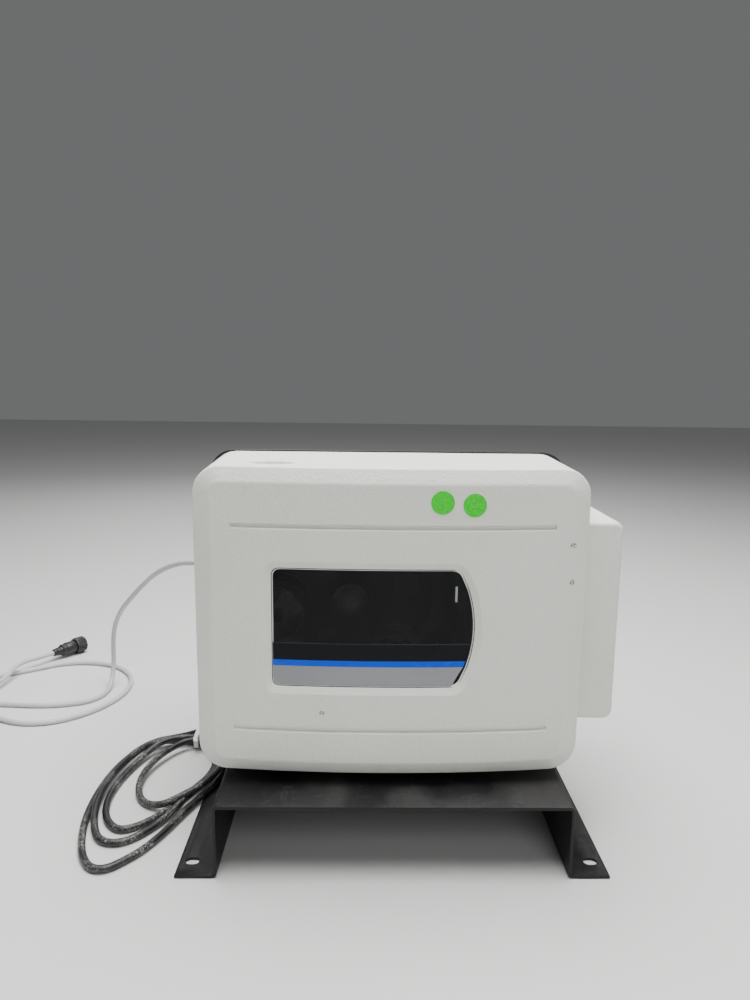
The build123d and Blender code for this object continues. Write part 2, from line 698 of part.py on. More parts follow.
def roller(place):
    x, z = place
    body = rod(x, z, ROLLER_FRONT, ROLLER_REAR, ROLLER_RADIUS)
    body = fillet(body.edges().filter_by(GeomType.CIRCLE), 2.0)
    groove = rod(x, z, ROLLER_FRONT - 1, ROLLER_FRONT + 1.2, 13.0) - rod(x, z, ROLLER_FRONT - 1, ROLLER_FRONT + 2, 10.5)
    body -= groove
    return body - rod(x, z, ROLLER_FRONT - 1, ROLLER_REAR + 1, ROLLER_BORE)


# ======== Occlusion bed and lever ========
def bed_profile():
    """The U of the track, open to the left, in X and Z about the rotor's axis."""
    ring = Circle(BED_OUTER) - Circle(BED_INNER)
    right = Pos(BED_OUTER, 0) * Rectangle(2 * BED_OUTER, 2 * BED_OUTER + 2)
    arms = [
        Pos(-BED_STRAIGHT / 2, side * (BED_INNER + BED_OUTER) / 2) * Rectangle(BED_STRAIGHT, BED_OUTER - BED_INNER)
        for side in (-1, 1)]
    return Pos(AXIS_X, AXIS_Z) * ((ring & right) + arms[0] + arms[1])


def occlusion_bed():
    body = slab(bed_profile(), BED_FRONT, BED_REAR)
    for side in (-1, 1):
        z = AXIS_Z + side * ROD_OFFSET
        for x in BOSS_X:
            boss = bar(x - BOSS_WIDTH / 2, x + BOSS_WIDTH / 2, ROD_Y, z, 9.0)
            web = block(x - BOSS_WIDTH / 2, x + BOSS_WIDTH / 2, BED_REAR - 2.0, ROD_Y, z - 6.5, z + 6.5)
            body += boss + web
            body -= bar(x - 20.0, x + 20.0, ROD_Y, z, ROD_RADIUS + RUNNING_GAP)
    arm_left = AXIS_X + BED_OUTER - 6.0
    pin_x = LEVER_X - BED_PIN_START
    body += block(arm_left, pin_x + 9.0, -28.0, -5.0, AXIS_Z - 12.0, AXIS_Z + 12.0)
    body -= rod(pin_x, AXIS_Z, -24.0, 0.0, BED_PIN_RADIUS)
    return body.solid()


def bed_pin():
    return rod(LEVER_X - BED_PIN_START, AXIS_Z, -24.0, CAM_REAR, BED_PIN_RADIUS)


def cam_slot():
    """The spiral slot that draws the bed's pin towards the lever's pivot as the lever goes down."""
    half = BED_PIN_RADIUS + 0.5
    steps = 20
    spare = 12.0
    fall = BED_TRAVEL / LEVER_SWEEP
    inner = []
    outer = []
    for n in range(steps + 1):
        turned = -spare + (LEVER_SWEEP + 2 * spare) * n / steps
        radius = BED_PIN_START - fall * turned
        inner.append(polar(0, 0, radius - half, 180.0 + turned))
        outer.append(polar(0, 0, radius + half, 180.0 + turned))
    sheet = make_face(Wire([
        Spline(*inner), Line(inner[-1], outer[-1]), Spline(*reversed(outer)), Line(outer[0], inner[0])]))
    return Pos(LEVER_X, AXIS_Z) * sheet


def lever_end():
    return polar(LEVER_X, AXIS_Z, LEVER_LENGTH, LEVER_REST)


def occlusion_lever():
    disc = rod(LEVER_X, AXIS_Z, CAM_FRONT, CAM_REAR, CAM_RADIUS)
    disc = chamfer(disc.edges().filter_by(GeomType.CIRCLE), 1.0)
    x, z = lever_end()
    middle = Pos((LEVER_X + x) / 2, (AXIS_Z + z) / 2) * Rot(0, 0, LEVER_REST) * Rectangle(LEVER_LENGTH, 15.0)
    body = disc + slab(middle, CAM_FRONT + 1.0, CAM_REAR - 1.0) + rod(x, z, CAM_FRONT + 1.0, CAM_REAR - 1.0, 7.5)
    body += rod(LEVER_X, AXIS_Z, -4.0, CAM_REAR + 8.0, 14.0)
    body -= slab(cam_slot(), CAM_FRONT - 1.0, CAM_REAR + 1.0)
    body -= rod(x, z, CAM_FRONT, CAM_REAR, 4.0)
    return (body - rod(LEVER_X, AXIS_Z, -10.0, 30.0, LEVER_PIN_RADIUS + RUNNING_GAP)).solid()


def lever_grip():
    x, z = lever_end()
    handle = rod(x, z, -46.0, CAM_FRONT + 1.0, GRIP_RADIUS)
    handle = fillet(handle.edges().filter_by(GeomType.CIRCLE), 3.5)
    return handle + rod(x, z, CAM_FRONT - 4.0, CAM_REAR - 1.0, 4.0)


def lever_pivot():
    pin = rod(LEVER_X, AXIS_Z, -10.0, FLANGE_FRONT, LEVER_PIN_RADIUS)
    return pin + rod(LEVER_X, AXIS_Z, -10.0, -4.4, 12.0)


# ======== Gearbox, motor and electronics ========
def idler_centre():
    reach = sum(STAGE_TEETH) * OUTPUT_MODULE / 2
    return (AXIS_X + reach, AXIS_Z)


def motor_centre():
    x, z = idler_centre()
    return (x, z - sum(STAGE_TEETH) * INPUT_MODULE / 2)


def case_box():
    """Left, right, low and high sides of the gearbox case."""
    x, _ = idler_centre()
    spread = 8.0
    tall = STAGE_TEETH[0] * OUTPUT_MODULE / 2
    wide = STAGE_TEETH[0] * INPUT_MODULE / 2
    return (AXIS_X - tall - spread, x + wide + spread, AXIS_Z - tall - 14.0, AXIS_Z + tall + spread)


def output_gear():
    body = gear(STAGE_TEETH[0], OUTPUT_MODULE, 0.0, AXIS_X, AXIS_Z, *OUTPUT_GEAR_Y)
    body += rod(AXIS_X, AXIS_Z, OUTPUT_GEAR_Y[0] - 3.0, OUTPUT_GEAR_Y[1] + 3.0, 20.0)
    return body - rod(AXIS_X, AXIS_Z, 30.0, 70.0, SHAFT_RADIUS)


def idler_gears():
    x, z = idler_centre()
    pinion_turn = 180.0 - 180.0 / STAGE_TEETH[1]
    body = gear(STAGE_TEETH[1], OUTPUT_MODULE, pinion_turn, x, z, OUTPUT_GEAR_Y[0] - 1.0, INPUT_GEAR_Y[0])
    body += gear(STAGE_TEETH[0], INPUT_MODULE, -90.0, x, z, *INPUT_GEAR_Y)
    return body + rod(x, z, HEAD_PLATE_FRONT + 4.0, CASE_REAR - 1.0, 5.0)


def motor_shaft():
    x, z = motor_centre()
    turn = 90.0 - 180.0 / STAGE_TEETH[1]
    body = gear(STAGE_TEETH[1], INPUT_MODULE, turn, x, z, INPUT_GEAR_Y[0] - 1.0, INPUT_GEAR_Y[1] + 1.0)
    body += rod(x, z, INPUT_GEAR_Y[1], MOTOR_REAR - 4.0, 5.0)
    return body + rod(x, z, CASE_REAR + 12.0, MOTOR_REAR - 12.0, 33.0)


def gearbox_case():
    left, right, low, high = case_box()
    shape = Pos((left + right) / 2, (low + high) / 2) * RectangleRounded(right - left, high - low, 12.0)
    body = slab(shape, FLANGE_FRONT, CASE_REAR)
    room = (Pos(AXIS_X, AXIS_Z) * Circle(STAGE_TEETH[0] * OUTPUT_MODULE / 2 + 4.0))
    x, z = idler_centre()
    room += Pos(x, z) * Circle(STAGE_TEETH[0] * INPUT_MODULE / 2 + 4.0)
    mx, mz = motor_centre()
    room += Pos(mx, mz) * Circle(14.0)
    body -= slab(room, FLANGE_FRONT, CASE_REAR - CASE_WALL)
    body -= rod(AXIS_X, AXIS_Z, CASE_REAR - CASE_WALL - 1, CASE_REAR, SHAFT_RADIUS + RUNNING_GAP)
    body -= rod(x, z, CASE_REAR - CASE_WALL - 1, CASE_REAR, 5.0 + RUNNING_GAP)
    body -= rod(mx, mz, CASE_REAR - CASE_WALL - 1, CASE_REAR, 9.0)
    for sx, sz in case_screw_places():
        body -= rod(sx, sz, FLANGE_FRONT - 1.0, FLANGE_FRONT + 8.0, 2.5)
    return body.solid()


def motor_body():
    x, z = motor_centre()
    body = rod(x, z, CASE_REAR, MOTOR_REAR, MOTOR_RADIUS)
    body = fillet(body.faces().sort_by(Axis.Y)[-1].edges(), 4.0)
    for n in range(24):
        fin = Pos(x, z) * Rot(0, 0, 15.0 * n) * Pos(MOTOR_RADIUS, 0) * Rectangle(5.0, 3.0)
        body -= slab(fin, CASE_REAR + 8.0, MOTOR_REAR - 8.0)
    body -= rod(x, z, CASE_REAR + 8.0, MOTOR_REAR - 8.0, 34.0)
    body -= rod(x, z, CASE_REAR - 1.0, CASE_REAR + 9.0, 5.0 + RUNNING_GAP)
    body -= rod(x, z, MOTOR_REAR - 9.0, MOTOR_REAR - 3.0, 5.0 + RUNNING_GAP)
    return body


def control_board():
    board = block(100.0, 101.6, 50.0, 130.0, 130.0, 330.0)
    parts = [
        block(101.6, 118.0, 56.0, 84.0, 290.0, 320.0),
        block(101.6, 122.0, 92.0, 122.0, 262.0, 318.0),
        Pos(113.0, 70.0, 255.0) * Rot(0, 90, 0) * Cylinder(11.0, 22.8),
        Pos(113.0, 70.0, 225.0) * Rot(0, 90, 0) * Cylinder(11.0, 22.8),
        block(101.6, 112.0, 56.0, 124.0, 140.0, 152.0),
        block(101.6, 108.0, 92.0, 118.0, 190.0, 216.0),
    ]
    body = board
    for piece in parts:
        body += piece
    for y in (58.0, 122.0):
        body += block(96.0, 100.5, y - 4.0, y + 4.0, 120.0, 134.0)
    foot = block(96.0, 120.0, 50.0, 130.0, 112.0, 120.0) + block(100.0, 116.0, 50.0, 130.0, 94.0, 113.0)
    return body + (foot & housing_body(HOUSING_WALL))


# ======== Glands, cords, plug and connector ========
def gland():
    """A nut and a ribbed strain relief that tapers along the cord. Its foot is at z = 0, the cord runs up."""
    body = extrude(Circle(12.5), amount=2.0)
    body += Pos(0, 0, 2.0) * extrude(RegularPolygon(11.0, 6), amount=6.0)
    body += Pos(0, 0, -9.0) * extrude(Circle(6.9), amount=10.0)
    body += Pos(0, 0, 8.0) * extrude(Circle(8.0), amount=22.0, taper=5.0)
    for n in range(4):
        ring = Pos(0, 0, 12.0 + 5.0 * n) * extrude(Circle(12.0) - Circle(5.1), amount=1.8)
        body -= ring
    return body


def signal_gland():
    """The gland on the housing's left wall, bored to the cable's own path."""
    y, z = SIGNAL_GLAND
    share = (y - FLANGE_REAR) / (BODY_REAR_Y - FLANGE_REAR)
    wall = PUMP_X - (BODY_FRONT["half"] + share * (BODY_REAR["half"] - BODY_FRONT["half"]))
    body = Pos(wall - 0.5, y, z) * Rot(0, -90, 0) * gland()
    body -= housing_body(0.0) - bar(-215.0, -180.0, y, z, 7.0)
    return body - tube(SIGNAL_POINTS[:4], SIGNAL_DIAMETER + 0.04)


def cord_gland():
    """The gland on the rear panel, bored to the cord's own path."""
    x, z = POWER_GLAND
    body = Pos(x, BODY_REAR_Y, z) * Rot(-90, 0, 0) * gland()
    return body - tube(LEAD_POINTS[:4], POWER_DIAMETER + 0.04)


def connector_frame():
    """Local z runs from the cable to the connector's nose."""
    x, y = CONNECTOR_BACK
    turn = radians(CONNECTOR_TURN)
    return Plane(origin=(x, y, CONNECTOR_AXIS_Z), x_dir=(0, 0, 1), z_dir=(cos(turn), sin(turn), 0))


def turned(profile):
    """A ring from (along, radius) corners, turned about the connector's axis."""
    sheet = make_face(Polyline(*[(r, z) for z, r in profile], close=True))
    ring = revolve(Plane.XZ * sheet, axis=Axis.Z)
    return connector_frame() * ring


def connector_shell():
    bore = SIGNAL_DIAMETER / 2
    return turned([
        (0.0, bore), (0.0, 6.0), (12.0, 8.0), (14.0, 9.8), (22.0, 9.8), (23.0, 10.8), (38.0, 10.8), (39.0, 10.0),
        (56.0, 10.0), (56.0, 8.6), (40.0, 8.6), (38.0, 6.0), (20.0, 6.0), (18.0, bore)])


def coupling_ring():
    ring = turned([(39.5, 10.3), (39.5, 13.0), (41.0, 13.8), (55.5, 13.8), (57.0, 13.0), (57.0, 10.3)])
    grooves = []
    for n in range(20):
        spot = Rot(0, 0, 18.0 * n) * Pos(13.9, 0, 48.0) * Cylinder(0.9, 12.0)
        grooves.append(connector_frame() * spot)
    return ring - grooves


def connector_pins():
    insert = connector_frame() * Pos(0, 0, 40.0) * extrude(Circle(8.6), amount=6.0)
    for n in range(7):
        ring = Rot(0, 0, 51.4 * n) * Pos(5.4, 0, 44.0) * Cylinder(0.6, 16.0)
        insert += connector_frame() * ring
    return insert


def mains_plug():
    body = Pos(PLUG_X + 20.0, PLUG_Y, 13.0) * Box(40.0, 27.0, 26.0)
    body = fillet(body.edges().filter_by(Axis.X), 7.0)
    body = chamfer(body.faces().sort_by(Axis.X)[0].edges(), 3.0)
    sleeve = Pos(PLUG_X, PLUG_Y, 13.0) * Rot(0, -90, 0) * extrude(Circle(8.0), amount=24.0, taper=5.0)
    body = body + sleeve
    return body - tube(TAIL_POINTS[-4:], POWER_DIAMETER + 0.04)


def plug_pins():
    start = PLUG_X + 40.0
    blades = [block(start, start + 20.0, PLUG_Y + s * 6.35 - 0.8, PLUG_Y + s * 6.35 + 0.8, 12.0, 18.4) for s in (-1, 1)]
    blades.append(bar(start, start + 22.0, PLUG_Y, 6.5, 2.4))
    return Compound(blades)


SIGNAL_POINTS = [
    (-183.0, 96.0, 253.0), (-218.0, 96.5, 253.0), (-246.0, 113.0, 250.0), (-271.0, 137.0, 242.4),
    (-296.7, 163.0, 228.5), (-320.0, 190.5, 211.1), (-343.6, 215.0, 189.2), (-367.6, 238.5, 164.0),
    (-389.0, 258.0, 139.7), (-403.7, 278.0, 118.2), (-415.0, 293.5, 95.0), (-421.5, 304.5, 67.9),
    (-423.0, 308.3, 38.0), (-422.6, 298.0, 14.8), (-422.0, 279.0, 3.6), (-424.5, 254.0, 3.6),
    (-438.0, 236.5, 3.6), (-463.0, 227.0, 3.6), (-500.0, 221.5, 3.6), (-540.0, 224.5, 3.6),
    (-575.0, 227.0, 3.6), (-610.0, 231.0, 3.6), (-642.0, 246.0, 3.6), (-658.0, 275.0, 3.6),
    (-648.0, 304.0, 3.6), (-618.0, 324.0, 3.6), (-588.0, 341.0, 3.6), (-561.0, 358.5, 3.6),
    (-538.0, 375.5, 3.6), (-510.0, 382.5, 3.6), (-479.0, 381.5, 3.6), (-451.0, 373.0, 3.6),
    (-428.0, 358.5, 3.6), (-405.0, 331.0, 3.6), (-393.0, 297.0, 3.6), (-394.5, 257.0, 3.6),
    (-408.0, 222.0, 3.6), (-430.0, 193.0, 3.6), (-459.0, 172.5, 3.6), (-491.0, 165.5, 3.6),
    (-522.0, 171.5, 3.6), (-550.0, 186.0, 4.2), (-575.0, 200.0, 11.0), (-591.0, 219.0, 18.0),
    (-596.5, 246.0, 18.0), (-594.0, 273.0, 12.0), (-589.5, 300.0, 12.5), (-589.0, 328.0, 18.0),
    (-585.0, 354.0, 17.0), (-572.0, 376.5, 14.0), (-556.0, 398.7, 14.0),
]

LEAD_POINTS = [
    (-150.0, 130.0, 130.0), (-150.6, 172.0, 130.0), (-160.0, 200.0, 110.0), (-178.0, 206.0, 76.0),
    (-200.0, 190.0, 45.0), (-217.0, 162.0, 31.0), (-226.0, 130.0, 25.0), (-230.0, 98.0, 24.5),
]

TAIL_POINTS = [
    (-236.0, 108.0, 12.5), (-210.0, 142.0, 8.2), (-176.0, 162.0, 4.1), (-136.0, 173.0, 4.1), (-96.0, 176.0, 4.1),
    (-64.0, 173.0, 9.0), (-34.0, 171.6, 13.0), (4.0, 172.0, 13.0),
]


TIE = dict(x=-254.0, low=1.2, high=23.0)


def tie_ring():
    """A flat tie round the strands, with its twisted end on top."""
    x = TIE["x"]
    ring = block(x - 3.0, x + 3.0, 84.0, 134.5, TIE["low"], TIE["high"])
    return ring - block(x - 4.0, x + 4.0, 85.2, 133.3, TIE["low"] + 1.2, TIE["high"] - 1.2)


def power_cord_hank():
    """The coiled cord as the closed shape of its loops, bound at the back."""
    outer = [
        (-254.0, 131.0), (-282.0, 133.0), (-304.0, 125.5), (-321.0, 104.0), (-332.0, 72.0), (-339.5, 36.0),
        (-340.5, -8.0), (-336.0, -49.0), (-327.0, -84.0), (-315.0, -114.0), (-298.0, -134.0), (-281.0, -135.0),
        (-265.0, -121.0), (-250.0, -103.0), (-237.0, -74.0), (-226.0, -42.0), (-218.0, -24.0), (-200.0, 9.0),
        (-196.0, 46.0), (-211.0, 92.0), (-230.0, 118.0)]
    inner = [
        (-243.0, 86.0), (-262.0, 70.0), (-277.0, 46.0), (-285.0, 20.0), (-281.0, 2.0), (-270.0, -13.0), (-254.0, -22.0),
        (-238.0, -16.0), (-222.0, -2.0), (-211.0, 22.0), (-210.0, 46.0), (-222.0, 74.0)]
    sheet = make_face(Spline(*outer, periodic=True)) - make_face(Spline(*inner, periodic=True))
    body = extrude(sheet, amount=HANK_HEIGHT - 2.0)
    edge = STAND_WIDTH / 2 + FOOT_WIDTH
    body -= block(-edge - 0.3, 0.0, -STAND_DEPTH, STAND_DEPTH, -1.0, SHEET + 0.3)
    x = TIE["x"]
    body -= block(x - 3.0, x + 3.0, 60.0, 140.0, -1.0, 30.0) - block(x - 4.0, x + 4.0, 85.2, 133.3, 2.4, 21.8)
    return body.solid()


def build():
    os.makedirs("parts", exist_ok=True)
    places = roller_places()
    shapes = {
        "stand_bracket": stand_bracket(),
        "isolators": isolators(),
        "mounting_bolts": mounting_bolts(),
        "front_cover": front_cover(),
        "side_bulge": side_bulge(),
        "bulge_screws": bulge_screws(),
        "window_pane": window_pane(),
        "window_gasket": window_gasket(),
        "window_label": window_label(),
        "marker_dots": marker_dots(),
        "cover_pull": cover_pull(),
        "hinge_leaves_cover": hinge_leaves(True),
        "hinge_leaves_fixed": hinge_leaves(False),
        "hinge_pins": hinge_pins(),
        "catch_plate": catch_plate(),
        "catch_magnet": catch_magnet(),
        "rear_housing": rear_housing(),
        "housing_gasket": housing_gasket(),
        "rear_panel": rear_panel(),
        "panel_screws": panel_screws(),
        "power_switch": power_switch(),
        "switch_rocker": switch_rocker(),
        "head_plate": head_plate(),
        "head_screws": head_screws(),
        "guide_rods": guide_rods(),
        "rod_blocks": rod_blocks(),
        "upper_tube_guide": tube_guide(1),
        "lower_tube_guide": tube_guide(-1),
        "main_bearing": main_bearing(),
        "shaft_seal": shaft_seal(),
        "rotor_carrier": rotor_carrier(),
        "drive_shaft": drive_shaft(),
        "rotor_nut": rotor_nut(),
        "roller_axles": roller_axles(),
        "occlusion_bed": occlusion_bed(),
        "bed_pin": bed_pin(),
        "occlusion_lever": occlusion_lever(),
        "lever_grip": lever_grip(),
        "lever_pivot": lever_pivot(),
        "output_gear": output_gear(),
        "idler_gears": idler_gears(),
        "motor_shaft": motor_shaft(),
        "gearbox_case": gearbox_case(),
        "motor_body": motor_body(),
        "control_board": control_board(),
        "signal_gland": signal_gland(),
        "cord_gland": cord_gland(),
        "signal_cable": tube(SIGNAL_POINTS, SIGNAL_DIAMETER, "signal_cable"),
        "power_cord_lead": tube(LEAD_POINTS, POWER_DIAMETER, "power_cord_lead"),
        "power_cord_tail": tube(TAIL_POINTS, POWER_DIAMETER, "power_cord_tail"),
        "power_cord_hank": power_cord_hank(),
        "cord_tie": tie_ring(),
        "mains_plug": mains_plug(),
        "plug_pins": plug_pins(),
        "connector_shell": connector_shell(),
        "connector_pins": connector_pins(),
        "coupling_ring": coupling_ring(),
    }
    for number, place in enumerate(places, start=1):
        shapes["roller_%d" % number] = roller(place)
    for name, shape in shapes.items():
        export_step(shape, "parts/%s.step" % name)


build()
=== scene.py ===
"""A peristaltic pump on a bent sheet stand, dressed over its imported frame."""

import logging
from dataclasses import dataclass, field
from enum import Enum
from math import atan2, cos, hypot, pi, radians, sin, sqrt
from typing import Any, Callable, Iterable, Sequence

import bmesh
import bpy
from mathutils import Matrix, Vector


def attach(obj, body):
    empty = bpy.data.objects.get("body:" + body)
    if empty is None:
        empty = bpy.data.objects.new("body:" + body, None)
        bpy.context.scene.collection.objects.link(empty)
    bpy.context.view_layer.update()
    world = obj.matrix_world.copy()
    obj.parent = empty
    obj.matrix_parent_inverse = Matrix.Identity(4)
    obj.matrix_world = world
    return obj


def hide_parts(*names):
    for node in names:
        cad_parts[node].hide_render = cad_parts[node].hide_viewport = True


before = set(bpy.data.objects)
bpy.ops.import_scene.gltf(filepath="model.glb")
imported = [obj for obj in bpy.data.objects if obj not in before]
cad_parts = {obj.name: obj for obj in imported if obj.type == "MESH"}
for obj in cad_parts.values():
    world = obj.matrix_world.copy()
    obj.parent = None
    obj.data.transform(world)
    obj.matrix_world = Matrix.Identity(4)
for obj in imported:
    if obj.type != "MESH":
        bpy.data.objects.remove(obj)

Point = tuple[float, float, float]
Flat = tuple[float, float]
Colour = tuple[float, float, float]
Range = tuple[float, float]
Test = Callable[[Any], bool]
Piece = bpy.types.Object
Material = bpy.types.Material

log = logging.getLogger("pump")


# ======== Shader arithmetic ========
class Socket:
    """One output of a node, on which Python arithmetic adds Math nodes."""

    def __init__(self, shader: "Shader", link: Any) -> None:
        """Keeps the output and the shader that it belongs to."""
        self.shader = shader
        self.link = link

    def _do(self, operation: str, *values: Any) -> "Socket":
        """Adds one Math node over the given values."""
        return self.shader.node("ShaderNodeMath", {"operation": operation}, dict(enumerate(values)))

    def __add__(self, other: Any) -> "Socket":
        """self + other."""
        return self._do("ADD", self, other)

    __radd__ = __add__

    def __mul__(self, other: Any) -> "Socket":
        """self * other."""
        return self._do("MULTIPLY", self, other)

    def __sub__(self, other: Any) -> "Socket":
        """self - other."""
        return self._do("SUBTRACT", self, other)

    def __rsub__(self, other: Any) -> "Socket":
        """other - self."""
        return self._do("SUBTRACT", other, self)

    def __pow__(self, other: Any) -> "Socket":
        """self to the power of other."""
        return self._do("POWER", self, other)

    def size(self) -> "Socket":
        """The value without its sign."""
        return self._do("ABSOLUTE", self)

    def wave(self) -> "Socket":
        """The sine of the value."""
        return self._do("SINE", self)

    def ramp(self, start: float, end: float) -> "Socket":
        """A smooth step.

        Args:
            start: The value at which the result is 0.
            end: The value at which the result is 1.

        Returns:
            A value from 0 to 1.
        """
        inputs = {"Value": self, "From Min": start, "From Max": end}
        return self.shader.node("ShaderNodeMapRange", {"interpolation_type": "SMOOTHSTEP"}, inputs)


class Shader:
    """A material with one principled shader, and the node-making that the finishes share."""

    def __init__(self, name: str) -> None:
        """Starts a material.

        Args:
            name: The finish's name.
        """
        self.material = bpy.data.materials.new(name)
        self.material.use_nodes = True
        self.tree = self.material.node_tree
        self.principled = self.tree.nodes["Principled BSDF"]
        self._place: Socket | None = None

    def node(self, kind: str, settings: dict[str, Any] | None = None, inputs: dict[Any, Any] | None = None,
             output: int | str = 0) -> Socket:
        """Adds a node.

        Args:
            kind: The node's type.
            settings: Its properties, which are set first.
            inputs: Values or sockets for its inputs, by name or number.
            output: The output that is wanted.

        Returns:
            That output.
        """
        made = self.tree.nodes.new(kind)
        for key, value in (settings or {}).items():
            setattr(made, key, value)
        for key, value in (inputs or {}).items():
            if isinstance(value, Socket):
                self.tree.links.new(value.link, made.inputs[key])
            else:
                made.inputs[key].default_value = value
        return Socket(self, made.outputs[output])

    def constant(self, **values: Any) -> None:
        """Sets numbers or colours on the principled shader's own sockets."""
        for name, value in values.items():
            self.principled.inputs[name.replace("_", " ")].default_value = value

    def feed(self, name: str, source: Socket) -> None:
        """Links a socket to one of the principled shader's inputs."""
        self.tree.links.new(source.link, self.principled.inputs[name])

    @property
    def place(self) -> Socket:
        """Object coordinates."""
        if self._place is None:
            self._place = self.node("ShaderNodeTexCoord", output="Object")
        return self._place

    def axes(self) -> tuple[Socket, Socket, Socket]:
        """X, Y and Z of the object coordinates, in metres."""
        first = self.node("ShaderNodeSeparateXYZ", inputs={0: self.place})
        outs = first.link.node.outputs
        return Socket(self, outs[0]), Socket(self, outs[1]), Socket(self, outs[2])

    def facing_up(self) -> Socket:
        """1 on faces that look up, falling to -1 on those that look down."""
        normal = self.node("ShaderNodeNewGeometry", output="Normal")
        parts = self.node("ShaderNodeSeparateXYZ", inputs={0: normal})
        return Socket(self, parts.link.node.outputs[2])

    def stretched(self, scale: Point) -> Socket:
        """Object coordinates stretched by a factor along each axis."""
        return self.node("ShaderNodeMapping", inputs={"Vector": self.place, "Scale": scale})

    def noise(self, scale: float, detail: float = 3.0, rough: float = 0.55, at: Socket | None = None,
              distortion: float = 0.0) -> Socket:
        """Fractal noise.

        Args:
            scale: Features per metre.
            detail: Octaves.
            rough: Weight of the finer octaves.
            at: Coordinates, if not the object's own.
            distortion: How much the noise is warped.

        Returns:
            A value around 0.5.
        """
        inputs = {"Vector": at or self.place, "Scale": scale, "Detail": detail, "Roughness": rough,
                  "Distortion": distortion}
        return self.node("ShaderNodeTexNoise", inputs=inputs)

    def blend(self, factor: Any, first: Any, second: Any) -> Socket:
        """A colour between two.

        Args:
            factor: 0 for the first, 1 for the second.
            first: A colour or socket.
            second: A colour or socket.

        Returns:
            The mixed colour.
        """
        made = self.tree.nodes.new("ShaderNodeMix")
        made.data_type = "RGBA"
        for key, value in ((0, factor), (6, first), (7, second)):
            if isinstance(value, Socket):
                self.tree.links.new(value.link, made.inputs[key])
            elif key:
                made.inputs[key].default_value = (*value, 1.0)
            else:
                made.inputs[key].default_value = value
        return Socket(self, made.outputs[2])

    def bump(self, height: Socket, distance: float, strength: float = 1.0) -> None:
        """Raises the surface by a height in units of distance, in metres."""
        inputs = {"Height": height, "Distance": distance, "Strength": strength}
        self.feed("Normal", self.node("ShaderNodeBump", inputs=inputs))

    def spot(self, centre: Point, reach: Point) -> Socket:
        """1 inside an ellipsoid about a point, 0 outside, with a soft edge."""
        scale = tuple(1.0 / r for r in reach)
        place = self.stretched(scale)
        aim = tuple(c * k for c, k in zip(centre, scale))
        gap = self.node("ShaderNodeVectorMath", {"operation": "DISTANCE"}, {0: place, 1: aim}, "Value")
        return gap.ramp(1.0, 0.6)


# ======== Finishes ========
@dataclass(frozen=True)
class FoamShell:
    """Off-white structural foam with a moulded stipple, handling marks and a little grime."""

    name: str = "moulded_off_white"
    colour: Colour = (0.765, 0.77, 0.715)
    marks: tuple[tuple[Point, Point], ...] = ()

    def make(self) -> Material:
        """Builds the material."""
        s = Shader(self.name)
        peel = s.noise(520, 2.0, 0.5)
        coarse = s.noise(230, 2.0, 0.5)
        cloud = s.noise(9, 4.0, 0.6)
        grime = s.noise(38, 5.0, 0.7).ramp(0.60, 0.78)
        tone = s.blend(cloud.ramp(0.35, 0.7), self.colour, tuple(c * 0.965 for c in self.colour))
        tone = s.blend(grime * 0.13, tone, (0.42, 0.40, 0.35))
        specks = s.noise(430, 1.0, 0.4).ramp(0.755, 0.775)
        tone = s.blend(specks * 0.22, tone, (0.25, 0.24, 0.22))
        for centre, reach in self.marks:
            scratch = s.noise(640, 2.0, 0.6).ramp(0.42, 0.52)
            tone = s.blend(s.spot(centre, reach) * scratch * 0.95, tone, (0.10, 0.10, 0.095))
        s.feed("Base Color", tone)
        s.feed("Roughness", 0.46 + cloud * 0.12 + grime * 0.1)
        s.constant(Specular_IOR_Level=0.42)
        s.bump(peel * 0.7 + coarse * 0.7, 0.00055)
        return s.material


@dataclass(frozen=True)
class PowderCoat:
    """Black powder coat on sheet, with settled dust and dried water marks on what faces up."""

    name: str = "black_powder_coat"
    colour: Colour = (0.0065, 0.0065, 0.0072)
    dust: float = 0.5

    def make(self) -> Material:
        """Builds the material."""
        s = Shader(self.name)
        up = s.facing_up().ramp(0.4, 0.9)
        film = s.noise(7, 5.0, 0.62, distortion=0.6).ramp(0.42, 0.66)
        grit = s.noise(900, 2.0, 0.5).ramp(0.60, 0.72)
        stains = s.noise(26, 3.0, 0.5, distortion=1.2)
        rims = 1.0 - (stains - 0.55).size().ramp(0.0, 0.02)
        scratch = s.noise(60, 2.0, 0.5, s.stretched((1.0, 14.0, 14.0))).ramp(0.70, 0.735)
        haze = up * (film * 0.55 + grit * 0.35 + rims * 0.25) * self.dust + scratch * 0.10
        tone = s.blend(haze * 0.55, self.colour, (0.16, 0.155, 0.148))
        s.feed("Base Color", tone)
        s.feed("Roughness", 0.34 + haze * 0.30 + s.noise(300, 2.0) * 0.10)
        s.constant(Specular_IOR_Level=0.26)
        s.bump(s.noise(1100, 2.0, 0.5), 0.00012)
        return s.material


@dataclass(frozen=True)
class BlackMoulding:
    """Black moulded plastic with a fine spark texture and paler rubbed patches."""

    name: str = "black_moulding"
    colour: Colour = (0.017, 0.017, 0.018)
    roughness: float = 0.48
    grain: float = 1400.0
    wear: float = 0.25

    def make(self) -> Material:
        """Builds the material."""
        s = Shader(self.name)
        rub = s.noise(45, 4.0, 0.65).ramp(0.55, 0.75)
        lint = s.noise(700, 2.0, 0.6).ramp(0.66, 0.74)
        tone = s.blend(rub * self.wear * 0.4 + lint * self.wear * 0.5, self.colour, (0.13, 0.13, 0.125))
        s.feed("Base Color", tone)
        s.feed("Roughness", self.roughness + rub * 0.14)
        s.bump(s.noise(self.grain, 2.0, 0.5), 0.00010)
        return s.material


class Lay(Enum):
    """The direction of a metal's tool marks."""

    ALONG_X = (0.05, 1.0, 1.0)
    ALONG_Z = (1.0, 1.0, 0.05)
    EVEN = (1.0, 1.0, 1.0)


